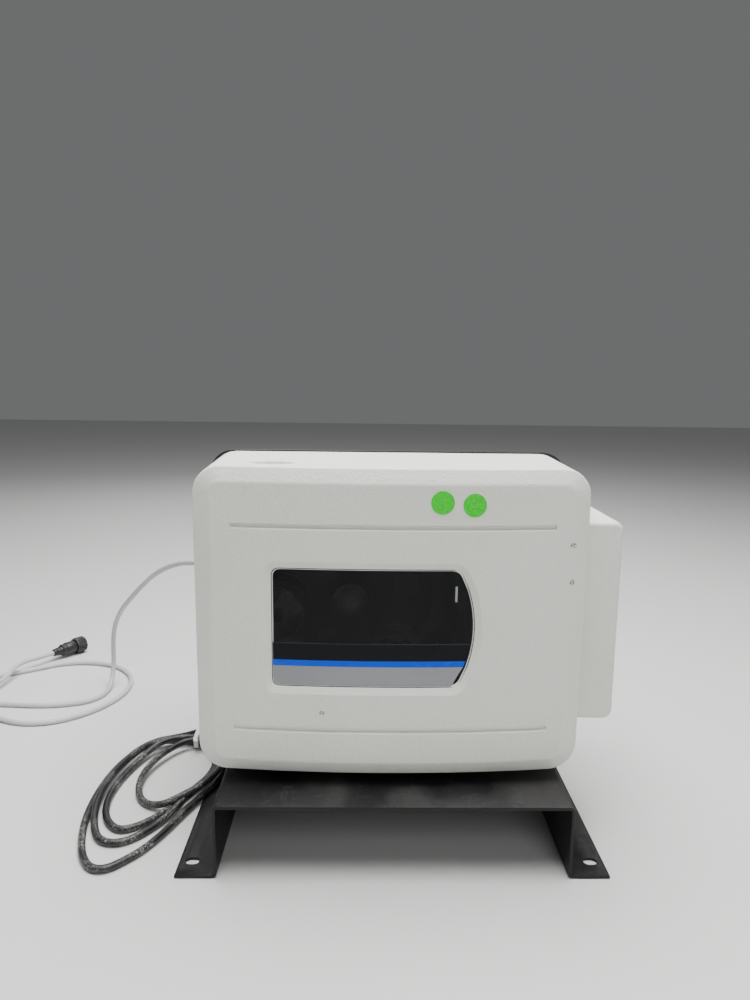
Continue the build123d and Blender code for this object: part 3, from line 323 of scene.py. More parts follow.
@dataclass(frozen=True)
class BareMetal:
    """Metal with tool marks, slight tarnish and handled patches."""

    name: str
    colour: Colour = (0.55, 0.56, 0.57)
    roughness: float = 0.32
    lay: Lay = Lay.EVEN
    marks: float = 900.0
    tarnish: float = 0.2

    def make(self) -> Material:
        """Builds the material."""
        s = Shader(self.name)
        lines = s.noise(self.marks, 3.0, 0.6, s.stretched(self.lay.value))
        cloud = s.noise(22, 4.0, 0.6).ramp(0.4, 0.75)
        tone = s.blend(cloud * self.tarnish, self.colour, tuple(c * 0.45 for c in self.colour))
        s.feed("Base Color", tone)
        s.feed("Roughness", self.roughness + (lines - 0.5) * 0.22 + cloud * 0.1)
        s.constant(Metallic=1.0)
        s.bump(lines, 0.00003)
        return s.material


@dataclass(frozen=True)
class TurnedMetal:
    """A face or barrel turned on a lathe, with rings about an axis along Y."""

    name: str
    centre: Flat
    colour: Colour = (0.60, 0.61, 0.62)
    roughness: float = 0.26
    pitch: float = 0.0006

    def make(self) -> Material:
        """Builds the material."""
        s = Shader(self.name)
        x, y, z = s.axes()
        across, up = x - self.centre[0], z - self.centre[1]
        reach = s.node("ShaderNodeMath", {"operation": "SQRT"}, {0: across ** 2.0 + up ** 2.0})
        rings = (reach * (2 * pi / self.pitch)).wave() * 0.5 + (y * (2 * pi / self.pitch)).wave() * 0.5
        cloud = s.noise(60, 4.0, 0.6).ramp(0.45, 0.75)
        tone = s.blend(cloud * 0.3, self.colour, tuple(c * 0.5 for c in self.colour))
        s.feed("Base Color", tone)
        s.feed("Roughness", self.roughness + rings * 0.05 + cloud * 0.12)
        s.constant(Metallic=1.0)
        s.bump(rings, 0.00001)
        return s.material


@dataclass(frozen=True)
class SoftRubber:
    """Matt black rubber with bloom."""

    name: str = "soft_rubber"
    colour: Colour = (0.02, 0.02, 0.021)

    def make(self) -> Material:
        """Builds the material."""
        s = Shader(self.name)
        bloom = s.noise(70, 4.0, 0.6).ramp(0.45, 0.75)
        s.feed("Base Color", s.blend(bloom * 0.3, self.colour, (0.09, 0.09, 0.088)))
        s.feed("Roughness", 0.72 + bloom * 0.12)
        s.bump(s.noise(1200, 2.0), 0.0001)
        return s.material


@dataclass(frozen=True)
class CordJacket:
    """A cord's jacket: its colour, ground-in dirt or pale scuffs, and a fine surface."""

    name: str
    colour: Colour
    scuff: Colour
    scuff_from: float
    scuff_to: float
    roughness: float = 0.45
    amount: float = 0.6

    def make(self) -> Material:
        """Builds the material."""
        s = Shader(self.name)
        patch = s.noise(24, 3.0, 0.6).ramp(0.40, 0.58)
        fine = s.noise(460, 4.0, 0.75).ramp(self.scuff_from, self.scuff_to)
        worn = patch * fine
        tone = s.blend(worn * self.amount, self.colour, self.scuff)
        s.feed("Base Color", tone)
        s.feed("Roughness", self.roughness + worn * 0.25)
        s.bump(s.noise(950, 3.0, 0.6) + worn * 0.6, 0.00018)
        return s.material


@dataclass(frozen=True)
class SmokedPane:
    """Dark glossy sheet that lets a little of the inside show."""

    name: str = "smoked_pane"
    alpha: float = 0.64

    def make(self) -> Material:
        """Builds the material."""
        s = Shader(self.name)
        smear = s.noise(18, 4.0, 0.6).ramp(0.45, 0.7)
        s.feed("Base Color", s.blend(smear * 0.3, (0.0012, 0.0014, 0.0024), (0.004, 0.0045, 0.006)))
        s.feed("Roughness", 0.045 + smear * 0.05)
        s.constant(Alpha=self.alpha, IOR=1.49, Specular_IOR_Level=0.22)
        return s.material


@dataclass(frozen=True)
class PrintedFilm:
    """Printed film in level stripes, coloured by height."""

    name: str = "printed_film"
    line: float = 0.2259
    blue_top: float = 0.2088
    grey_top: float = 0.2026

    def make(self) -> Material:
        """Builds the material."""
        s = Shader(self.name)
        _, _, z = s.axes()
        edge = 0.0002
        sheen = s.noise(14, 3.0, 0.5)
        dark = s.blend(z.ramp(self.line - edge, self.line), (0.0022, 0.0026, 0.0048), (0.035, 0.04, 0.045))
        blue = s.blend(z.ramp(self.blue_top - edge, self.blue_top), (0.0, 0.075, 0.66), dark)
        grey = s.blend(sheen.ramp(0.4, 0.7), (0.285, 0.29, 0.305), (0.26, 0.265, 0.28))
        s.feed("Base Color", s.blend(z.ramp(self.grey_top - edge, self.grey_top), grey, blue))
        s.feed("Roughness", 0.22 + sheen * 0.1)
        s.constant(Specular_IOR_Level=0.15)
        return s.material


@dataclass(frozen=True)
class StickerWithPaintedGlow:
    """Fluorescent paper sticker with a slightly mottled print, and a faint painted glow that makes its green
    brighter.
    """

    name: str = "green_sticker"
    colour: Colour = (0.0, 0.62, 0.002)

    def make(self) -> Material:
        """Builds the material."""
        s = Shader(self.name)
        mottle = s.noise(420, 3.0, 0.7)
        s.feed("Base Color", s.blend(mottle.ramp(0.40, 0.66), self.colour, (0.0, 0.46, 0.004)))
        s.feed("Roughness", 0.5 + mottle * 0.2)
        # Painted glow: a faint green emission stands in for the sticker's fluorescent brightness, though the
        # sticker is no lamp.
        s.constant(Emission_Color=(0.0, 0.90, 0.0, 1.0), Emission_Strength=0.10)
        s.bump(mottle, 0.00012)
        return s.material


@dataclass(frozen=True)
class CircuitBoard:
    """Green solder mask with faint tracks, and darker parts that stand off the board."""

    name: str = "circuit_board"

    def make(self) -> Material:
        """Builds the material."""
        s = Shader(self.name)
        x, y, z = s.axes()
        tracks = ((y * 900.0).wave() * (z * 700.0).wave()).ramp(0.55, 0.62)
        mask = s.blend(tracks, (0.012, 0.115, 0.040), (0.03, 0.20, 0.07))
        parts = x.ramp(0.1019, 0.1022)
        body = s.blend(s.noise(30, 0.0).ramp(0.49, 0.51), (0.02, 0.02, 0.022), (0.045, 0.05, 0.075))
        s.feed("Base Color", s.blend(parts, mask, body))
        s.feed("Roughness", 0.3 + parts * 0.2 + tracks * 0.08)
        s.bump(tracks, 0.00005)
        return s.material


# ======== Modelling ========
class Shop:
    """The modelling moves that the sub-assemblies share."""

    @staticmethod
    def clear() -> None:
        """Leaves object mode with nothing selected."""
        if bpy.context.object and bpy.context.object.mode != "OBJECT":
            bpy.ops.object.mode_set(mode="OBJECT")
        bpy.ops.object.select_all(action="DESELECT")

    @staticmethod
    def hold(piece: Piece) -> None:
        """Makes one piece the only selected and active one."""
        Shop.clear()
        piece.select_set(True)
        bpy.context.view_layer.objects.active = piece

    @staticmethod
    def settle(piece: Piece) -> Piece:
        """Moves the piece's place, turn and scale into its mesh."""
        Shop.hold(piece)
        bpy.ops.object.transform_apply(location=True, rotation=True, scale=True)
        return piece

    @staticmethod
    def block(name: str, low: Point, high: Point) -> Piece:
        """A box between two corners, ready to be shaped."""
        Shop.clear()
        middle = [(a + b) / 2 for a, b in zip(low, high)]
        bpy.ops.mesh.primitive_cube_add(size=1.0, location=middle)
        piece = bpy.context.object
        piece.name = name
        piece.scale = [b - a for a, b in zip(low, high)]
        return Shop.settle(piece)

    @staticmethod
    def outline(name: str, corners: Sequence[Point]) -> Piece:
        """A flat face with the given corners."""
        Shop.clear()
        bpy.ops.mesh.primitive_circle_add(vertices=len(corners), fill_type="NGON")
        piece = bpy.context.object
        piece.name = name
        for vertex, corner in zip(piece.data.vertices, corners):
            vertex.co = corner
        return piece

    @staticmethod
    def pick(piece: Piece, kind: str, test: Test) -> int:
        """Selects the vertices, edges or faces that pass a test, in edit mode.

        Args:
            piece: The mesh.
            kind: "VERT", "EDGE" or "FACE".
            test: What a bmesh element must pass.

        Returns:
            How many were selected.
        """
        Shop.hold(piece)
        bpy.ops.object.mode_set(mode="EDIT")
        bpy.ops.mesh.select_mode(type=kind)
        bpy.ops.mesh.select_all(action="DESELECT")
        work = bmesh.from_edit_mesh(piece.data)
        group = {"VERT": work.verts, "EDGE": work.edges, "FACE": work.faces}[kind]
        found = 0
        for element in group:
            if test(element):
                element.select_set(True)
                found += 1
        work.select_flush_mode()
        bmesh.update_edit_mesh(piece.data)
        return found

    @staticmethod
    def done(piece: Piece) -> Piece:
        """Leaves edit mode."""
        bpy.ops.object.mode_set(mode="OBJECT")
        return piece

    @staticmethod
    def outward(piece: Piece) -> Piece:
        """Merges doubled points and turns every face outwards."""
        Shop.pick(piece, "VERT", lambda v: True)
        bpy.ops.mesh.remove_doubles(threshold=1e-6)
        bpy.ops.mesh.normals_make_consistent(inside=False)
        return Shop.done(piece)

    @staticmethod
    def thicken(piece: Piece, offset: Point) -> Piece:
        """Extrudes the whole flat piece by an offset and closes it."""
        Shop.pick(piece, "FACE", lambda f: True)
        bpy.ops.mesh.extrude_region_move(TRANSFORM_OT_translate={"value": offset})
        Shop.done(piece)
        return Shop.outward(piece)

    @staticmethod
    def slice(piece: Piece, places: Iterable[float]) -> Piece:
        """Cuts edges across the piece at each X, so that it can bend."""
        Shop.pick(piece, "FACE", lambda f: True)
        for x in places:
            bpy.ops.mesh.select_all(action="SELECT")
            bpy.ops.mesh.bisect(plane_co=(x, 0, 0), plane_no=(1, 0, 0))
        return Shop.done(piece)

    @staticmethod
    def trim(piece: Piece, at: Point, normal: Point) -> Piece:
        """Removes what lies on the side that the normal points to."""
        Shop.pick(piece, "FACE", lambda f: True)
        bpy.ops.mesh.bisect(plane_co=at, plane_no=normal, clear_outer=True)
        return Shop.done(piece)

    @staticmethod
    def bevel(piece: Piece, test: Test, width: float, segments: int) -> None:
        """Rounds the edges that pass a test."""
        if Shop.pick(piece, "EDGE", test):
            bpy.ops.mesh.bevel(offset=width, segments=segments, profile=0.5, affect="EDGES",
                               clamp_overlap=False)
        Shop.done(piece)

    @staticmethod
    def modifier(piece: Piece, kind: str, **values: Any) -> Piece:
        """Adds a modifier with the given settings and applies it."""
        Shop.hold(piece)
        made = piece.modifiers.new(kind.lower(), kind)
        for key, value in values.items():
            setattr(made, key, value)
        bpy.ops.object.modifier_apply(modifier=made.name)
        return piece

    @staticmethod
    def soften(piece: Piece, width: float, segments: int = 2, angle: float = 40.0) -> Piece:
        """Rounds every edge that is sharper than an angle in degrees."""
        return Shop.modifier(piece, "BEVEL", width=width, segments=segments, limit_method="ANGLE",
                             angle_limit=radians(angle), use_clamp_overlap=True, harden_normals=False)

    @staticmethod
    def cut(piece: Piece, *tools: Piece) -> Piece:
        """Takes each tool's shape away from the piece, and removes the tools."""
        for tool in tools:
            Shop.modifier(piece, "BOOLEAN", operation="DIFFERENCE", object=tool, solver="EXACT")
            bpy.data.objects.remove(tool, do_unlink=True)
        return piece

    @staticmethod
    def fuse(name: str, pieces: Sequence[Piece]) -> Piece:
        """Joins pieces into one object."""
        Shop.clear()
        for piece in pieces:
            piece.select_set(True)
        bpy.context.view_layer.objects.active = pieces[0]
        if len(pieces) > 1:
            bpy.ops.object.join()
        pieces[0].name = name
        return pieces[0]

    @staticmethod
    def lathe(name: str, profile: Sequence[Flat], place: Matrix, steps: int = 48) -> Piece:
        """A body spun about its local Z.

        Args:
            name: The piece's name.
            profile: A closed line of (radius, height) corners.
            place: Where local Z and its origin go.
            steps: Faces round the turn.

        Returns:
            The piece.
        """
        piece = Shop.outline(name, [(r, 0.0, h) for r, h in profile])
        Shop.pick(piece, "FACE", lambda f: True)
        bpy.ops.mesh.delete(type="ONLY_FACE")
        bpy.ops.mesh.select_all(action="SELECT")
        bpy.ops.mesh.spin(steps=steps, angle=2 * pi, center=(0, 0, 0), axis=(0, 0, 1), dupli=False)
        bpy.ops.mesh.select_all(action="SELECT")
        bpy.ops.mesh.remove_doubles(threshold=1e-6)
        bpy.ops.mesh.normals_make_consistent(inside=False)
        Shop.done(piece)
        piece.data.transform(place)
        return piece

    @staticmethod
    def finish(piece: Piece, material: Material, body: str, slot: str,
               nodes: Sequence[str] = (), smooth: float | None = 32.0) -> Piece:
        """Dresses a piece and hangs it on its body.

        Args:
            piece: The finished mesh.
            material: Its finish.
            body: The body that it rides on.
            slot: A material slot name; not used.
            nodes: The frame's nodes that it stands for.
            smooth: The angle under which its faces shade as one, or None to leave it flat.

        Returns:
            The piece.
        """
        Shop.hold(piece)
        if smooth is not None and piece.type == "MESH":
            bpy.ops.object.shade_smooth_by_angle(angle=radians(smooth))
        piece.data.materials.clear()
        piece.data.materials.append(material)
        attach(piece, body)
        if nodes:
            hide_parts(*nodes)
        log.info("%s rides on %s", piece.name, body)
        return piece


def loft(name: str, loops: Sequence[Sequence[Point]], caps: bool = True) -> Piece:
    """A mesh skinned over matching loops, for cutting tools and the tie's band.

    Args:
        name: The piece's name.
        loops: Closed loops with the same number of points.
        caps: Whether the first and last loops are filled.

    Returns:
        The piece.
    """
    count = len(loops[0])
    faces: list[Sequence[int]] = []
    for n in range(len(loops) - 1):
        for i in range(count):
            j = (i + 1) % count
            faces.append((n * count + i, n * count + j, (n + 1) * count + j, (n + 1) * count + i))
    if caps:
        faces.append(tuple(range(count)))
        faces.append(tuple(range((len(loops) - 1) * count, len(loops) * count)))
    mesh = bpy.data.meshes.new(name)
    mesh.from_pydata([p for loop in loops for p in loop], [], faces)
    piece = bpy.data.objects.new(name, mesh)
    bpy.context.scene.collection.objects.link(piece)
    return Shop.outward(piece)


def circle(centre: Flat, radius: float, count: int) -> list[Flat]:
    """Points of a circle."""
    turns = [2 * pi * n / count for n in range(count)]
    return [(centre[0] + radius * cos(a), centre[1] + radius * sin(a)) for a in turns]


def stadium(centre: Flat, run: float, radius: float, count: int) -> list[Flat]:
    """Points of a round-ended slot, whose ends turn about run to either side of its centre."""
    x, y = centre
    turns = [pi * n / count for n in range(count + 1)]
    right = [(x + run + radius * sin(a), y + radius * cos(a)) for a in turns]
    left = [(x - run - radius * sin(a), y - radius * cos(a)) for a in turns]
    return right + left


# ======== The bowed front ========
@dataclass
class Bow:
    """The curve of the cover's front, which is furthest forward at its middle."""

    middle: float = -0.0045
    apex: float = -0.1077
    radius: float = 1.510
    step: float = 0.0125

    def back(self, x: float) -> float:
        """How far the curve has fallen back at x."""
        return self.radius - sqrt(self.radius ** 2 - (x - self.middle) ** 2)

    def at(self, x: float, depth: float = 0.0) -> float:
        """Y of the front at x, taken back by depth."""
        return self.apex + depth + self.back(x)

    def slices(self, first: float, count: int) -> list[float]:
        """Where a piece is cut across, so that it can bend."""
        return [first + self.step * n for n in range(count)]

    def bend(self, piece: Piece, depth: float) -> Piece:
        """Bends a piece that was made flat about Y = 0 to the curve at a depth."""
        for vertex in piece.data.vertices:
            vertex.co.y += self.at(vertex.co.x, depth)
        return piece

    def plate(self, name: str, corners: Sequence[Flat], depth: float, thickness: float, step: float) -> Piece:
        """A sheet that follows the curve.

        Args:
            name: The piece's name.
            corners: Its outline in X and Z.
            depth: How far its front lies behind the cover's front.
            thickness: Its thickness.
            step: The distance between the edges that let it bend.

        Returns:
            The piece.
        """
        piece = Shop.outline(name, [(x, 0.0, z) for x, z in corners])
        low = min(x for x, _ in corners)
        high = max(x for x, _ in corners)
        count = max(1, round((high - low) / step))
        Shop.slice(piece, [low + (high - low) * n / count for n in range(1, count)])
        Shop.thicken(piece, (0.0, thickness, 0.0))
        return self.bend(piece, depth)


def rounded(corner: Flat, before: Flat, after: Flat, reach: float, count: int) -> list[Flat]:
    """Points of a soft corner between two straight sides."""
    ends = []
    for other in (before, after):
        run = hypot(other[0] - corner[0], other[1] - corner[1])
        share = min(reach / run, 0.5)
        ends.append([a + (b - a) * share for a, b in zip(corner, other)])
    points = []
    for n in range(count + 1):
        t = n / count
        points.append(tuple((1 - t) ** 2 * a + 2 * t * (1 - t) * b + t * t * c
                            for a, b, c in zip(ends[0], corner, ends[1])))
    return points


@dataclass
class WindowShape:
    """The window's outline: straight on three sides, with an arc on the right."""

    left: float = -0.1190
    right: float = 0.0605
    low: float = 0.1835
    high: float = 0.2998
    bulge: float = 0.0149
    corner: float = 0.0075

    def points(self, grow: float) -> list[Flat]:
        """The outline grown by a distance, always with the same number of points."""
        half = (self.high - self.low) / 2
        middle = (self.high + self.low) / 2
        radius = (half ** 2 + self.bulge ** 2) / (2 * self.bulge)
        centre = self.right + self.bulge - radius
        reach = radius + grow
        right = centre + sqrt(reach ** 2 - (half + grow) ** 2)
        left, low, high = self.left - grow, self.low - grow, self.high + grow
        slope = atan2(half + grow, right - centre)
        turns = [-slope + 2 * slope * n / 24 for n in range(25)]
        arc = [(centre + reach * cos(a), middle + reach * sin(a)) for a in turns]
        corner = self.corner + grow / 2
        first, last = left + corner, right - corner
        between = [(n + 0.5) / 16 for n in range(16)]
        line = rounded((left, high), (left + 0.05, high), (left, low), corner, 6)
        line += rounded((left, low), (left, high), (left + 0.05, low), corner, 6)
        line += [(first + (last - first) * t, low) for t in between]
        line += rounded((right, low), (left, low), arc[4], corner, 6)
        line += arc[4:-4]
        line += rounded((right, high), arc[-5], (left, high), corner, 6)
        line += [(last + (first - last) * t, high) for t in between]
        return line


# ======== Cover ========
@dataclass
class Cover:
    """The hinged front cover with its window, label, stickers, side bulge and pull."""

    bow: Bow = field(default_factory=Bow)
    window: WindowShape = field(default_factory=WindowShape)
    front_x: Range = (-0.1967, 0.1875)
    front_z: Range = (0.0884, 0.3986)
    rear_x: Range = (-0.2015, 0.1915)
    rear_z: Range = (0.0830, 0.4000)
    rear_y: float = 0.0300
    rim: float = 0.0070
    band_side: float = 0.0185
    band_top: float = 0.0146
    corner: float = 0.028
    wall: float = 0.0052
    groove_half: float = 0.157
    grooves: tuple[float, float] = (0.1375, 0.3427)
    groove_middle: float = -0.0035
    crease: float = 0.0017
    dots: tuple[Flat, ...] = ((0.0420, 0.3672), (0.0725, 0.3648))
    dot_radius: float = 0.01125
    tube_heights: tuple[float, float] = (0.1580, 0.3430)
    tube_half: float = 0.0205
    bulge_low: Point = (0.170, -0.0737, 0.1343)
    bulge_high: Point = (0.2285, 0.0220, 0.3440)
    bulge_wall: float = 0.0035
    lever_low: Point = (0.175, -0.060, 0.170)
    lever_high: Point = (0.205, 0.016, 0.331)
    grip_low: Point = (-0.2190, 0.0000, 0.2030)
    grip_high: Point = (-0.1975, 0.0250, 0.2620)
    # How far the window's edge is grown at each depth behind the front.
    window_edge: tuple[Flat, ...] = (
        (-0.0020, 0.0120), (0.0, 0.0090), (0.0005, 0.0080), (0.0014, 0.0065),
        (0.0026, 0.0044), (0.0038, 0.0022), (0.0046, 0.0008), (0.0052, 0.0),
    )
    window_reach: Range = (-0.1250, -0.0700)
    # The centre and the reach of each scuffed place.
    scuffs: tuple[tuple[Point, Point], ...] = (
        ((-0.122, -0.069, 0.3992), (0.027, 0.0120, 0.006)),
        ((0.1710, -0.094, 0.288), (0.0035, 0.008, 0.004)),
        ((0.1700, -0.094, 0.325), (0.0045, 0.008, 0.0035)),
        ((-0.0715, -0.106, 0.1560), (0.0035, 0.005, 0.0028)),
    )

    def build(self) -> None:
        """Makes and dresses every piece of the cover."""
        white = FoamShell(marks=self.scuffs).make()
        self.shell(white)
        self.bulge(white)
        self.glazing()
        self.stickers()
        self.pull()

    def blank(self) -> Piece:
        """The closed outside of the shell, with its bowed front and bevelled band."""
        flat = self.bow.apex + self.rim
        piece = Shop.block("front_cover_shell", (self.rear_x[0], flat, self.rear_z[0]),
                           (self.rear_x[1], self.rear_y, self.rear_z[1]))
        for vertex in piece.data.vertices:
            if vertex.co.y < 0:
                vertex.co.x = self.front_x[0] if vertex.co.x < 0 else self.front_x[1]
                vertex.co.z = self.front_z[0] if vertex.co.z < 0.2 else self.front_z[1]
        long_edge = lambda e: abs(e.verts[0].co.y - e.verts[1].co.y) > 0.05
        Shop.bevel(piece, long_edge, self.corner, 9)
        Shop.slice(piece, self.bow.slices(-0.160, 26))
        for vertex in piece.data.vertices:
            if vertex.co.y < flat + 0.001:
                vertex.co.y = flat + self.bow.back(vertex.co.x)
        Shop.pick(piece, "FACE", lambda f: f.normal.y < -0.9)
        inset = (self.band_side + self.band_top) / 2
        bpy.ops.mesh.inset(thickness=inset, depth=self.rim, use_even_offset=True, use_boundary=True)
        half_x = (self.front_x[1] - self.front_x[0]) / 2
        half_z = (self.front_z[1] - self.front_z[0]) / 2
        grow_x = (half_x - self.band_side) / (half_x - inset)
        grow_z = (half_z - self.band_top) / (half_z - inset)
        centre = (sum(self.front_x) / 2, flat, sum(self.front_z) / 2)
        bpy.ops.transform.resize(value=(grow_x, 1.0, grow_z), center_override=centre)
        Shop.done(piece)
        Shop.pick(piece, "FACE", lambda f: f.normal.y > 0.9)
        bpy.ops.mesh.delete(type="FACE")
        Shop.done(piece)
        sharp = lambda e: len(e.link_faces) == 2 and e.calc_face_angle(0.0) > radians(13) and all(
            v.co.y < -0.075 for v in e.verts)
        Shop.bevel(piece, sharp, self.crease, 3)
        return piece

    def dress(self, piece: Piece, white: Material, node: str) -> None:
        """Dresses a white moulding, with its flat faces kept flat."""
        Shop.finish(piece, white, "cover", "white_shell", [node], 30.0)
        Shop.modifier(piece, "WEIGHTED_NORMAL", mode="FACE_AREA", weight=60, keep_sharp=True)

    def shell(self, white: Material) -> None:
        """The hollow shell with its window, grooves, tube notches and lever opening."""
        piece = self.blank()
        Shop.modifier(piece, "SOLIDIFY", thickness=self.wall, offset=-1.0, use_even_offset=True)
        tools = [self.window_tool()]
        tools += [self.groove_tool(height) for height in self.grooves]
        tools += [self.notch_tool(height) for height in self.tube_heights]
        tools.append(Shop.block("lever_tool", self.lever_low, self.lever_high))
        Shop.cut(piece, *tools)
        self.dress(piece, white, "front_cover")

    def window_tool(self) -> Piece:
        """The window's opening, which flares to a soft edge at the front."""
        front, rear = self.window_reach
        loops = [[(x, front, z) for x, z in self.window.points(self.window_edge[0][1])]]
        for depth, grow in self.window_edge:
            loops.append([(x, self.bow.at(x, depth), z) for x, z in self.window.points(grow)])
        loops.append([(x, rear, z) for x, z in self.window.points(0.0)])
        return loft("window_tool", loops)

    def groove_tool(self, height: float) -> Piece:
        """A shallow round-ended slot that follows the bow and is wider at its mouth."""
        half, depth, above, flare = 0.0016, 0.0029, 0.0017, 2.4
        line = stadium((0.0, 0.0), self.groove_half - 0.0025, half, 8)
        piece = Shop.outline("groove_tool", [(x + self.groove_middle, 0.0, z + height) for x, z in line])
        Shop.slice(piece, self.bow.slices(-0.150, 25))
        Shop.thicken(piece, (0.0, depth + above, 0.0))
        Shop.pick(piece, "VERT", lambda v: v.co.y < 0.001)
        centre = (self.groove_middle, 0.0, height)
        bpy.ops.transform.resize(value=(1.004, 1.0, flare), center_override=centre)
        Shop.done(piece)
        return self.bow.bend(piece, -above)

    def notch_tool(self, height: float) -> Piece:
        """The round-ended slot for a tube in the left wall, open to the rear."""
        reach, round_y, rear = self.tube_half, -0.033, 0.040
        line = [(rear, -reach), (rear, reach)]
        turns = [pi * n / 16 for n in range(17)]
        line += [(round_y - reach * sin(a), reach * cos(a)) for a in turns]
        return loft("notch_tool", [[(x, y, height + z) for y, z in line] for x in (-0.230, -0.180)])

    def bulge(self, white: Material) -> None:
        """The hollow bulge on the right wall."""
        piece = Shop.block("side_bulge_shell", self.bulge_low, self.bulge_high)
        top, front_y, rear_y = 0.3, self.bulge_low[1] + 0.0012, self.bulge_high[1] - 0.0005
        start, outside, lean_in = self.bulge_low[0] + 0.001, 0.2, 0.0012
        for vertex in piece.data.vertices:
            if vertex.co.z > top and vertex.co.x > outside:
                vertex.co.x -= lean_in
        along_y = lambda e: abs(e.verts[0].co.y - e.verts[1].co.y) > 0.05
        outer = lambda e: along_y(e) and all(v.co.x > outside for v in e.verts)
        front = lambda e: all(v.co.y < front_y for v in e.verts) and any(v.co.x > start for v in e.verts)
        rear = lambda e: all(v.co.y > rear_y for v in e.verts) and any(v.co.x > start for v in e.verts)
        for edges, width, segments in ((outer, 0.0095, 7), (front, 0.0050, 5), (rear, 0.0030, 3)):
            Shop.bevel(piece, edges, width, segments)
        lean = (self.rear_x[1] - self.front_x[1]) / (self.rear_y - self.bow.apex)
        normal = Vector((-1.0, lean, 0.0)).normalized()
        Shop.trim(piece, (self.rear_x[1] - 0.0005, self.rear_y, 0.0), tuple(normal))
        Shop.modifier(piece, "SOLIDIFY", thickness=self.bulge_wall, offset=-1.0, use_even_offset=True)
        self.dress(piece, white, "side_bulge")

    def glazing(self) -> None:
        """The smoked pane, and the striped film and the pale tick in front of it."""
        behind, film_behind, film_thick = 0.0050, 0.0046, 0.0003
        pane = self.bow.plate("window_pane_sheet", self.window.points(0.009), behind, 0.003, 0.012)
        Shop.finish(pane, SmokedPane().make(), "cover", "smoked_pane", ["window_pane"], 20.0)
        film = [(-0.1208, 0.2265), (-0.1208, 0.1817), (0.0555, 0.1817), (0.0610, 0.1925), (0.0668, 0.2026),
                (0.0692, 0.2088), (0.0722, 0.2180), (0.0738, 0.2265)]
        label = self.bow.plate("window_film", film, film_behind, film_thick, 0.012)
        Shop.finish(label, PrintedFilm().make(), "cover", "label_grey", ["window_label"], 20.0)
        mark = [(0.0572, 0.2845), (0.0572, 0.2690), (0.0592, 0.2690), (0.0592, 0.2845)]
        tick = self.bow.plate("window_tick", mark, film_behind, film_thick, 0.01)
        pale = BlackMoulding("pale_tick", (0.35, 0.36, 0.37), 0.4, 1400.0, 0.0).make()
        Shop.finish(tick, pale, "cover", "label_grey")

    def stickers(self) -> None:
        """The two round stickers."""
        green = StickerWithPaintedGlow().make()
        discs = []
        for n, dot in enumerate(self.dots):
            ring = circle(dot, self.dot_radius, 48)
            discs.append(self.bow.plate("sticker_%d" % n, ring, -0.0003, 0.0004, 0.005))
        piece = Shop.fuse("round_stickers", discs)
        Shop.finish(piece, green, "cover", "dot_green", ["marker_dots"], 20.0)

    def pull(self) -> None:
        """The black finger grip on the left wall."""
        piece = Shop.block("cover_pull_grip", self.grip_low, self.grip_high)
        outer, foot = self.grip_low[0] + 0.001, self.grip_low[2] + 0.007
        Shop.pick(piece, "VERT", lambda v: v.co.x < outer and v.co.z < foot)
        bpy.ops.transform.translate(value=(0.0070, 0.0, 0.0))
        Shop.done(piece)
        Shop.bevel(piece, lambda e: all(v.co.x < -0.2110 for v in e.verts), 0.0050, 5)
        scoop = Shop.block("pull_tool", (-0.2090, 0.0165, 0.2110), (-0.1700, 0.0400, 0.2540))
        Shop.bevel(scoop, lambda e: abs(e.verts[0].co.x - e.verts[1].co.x) > 0.02, 0.006, 4)
        Shop.cut(piece, scoop)
        Shop.soften(piece, 0.0008, 2, 45.0)
        Shop.finish(piece, BlackMoulding("grip_black").make(), "cover", "black_matte", ["cover_pull"])


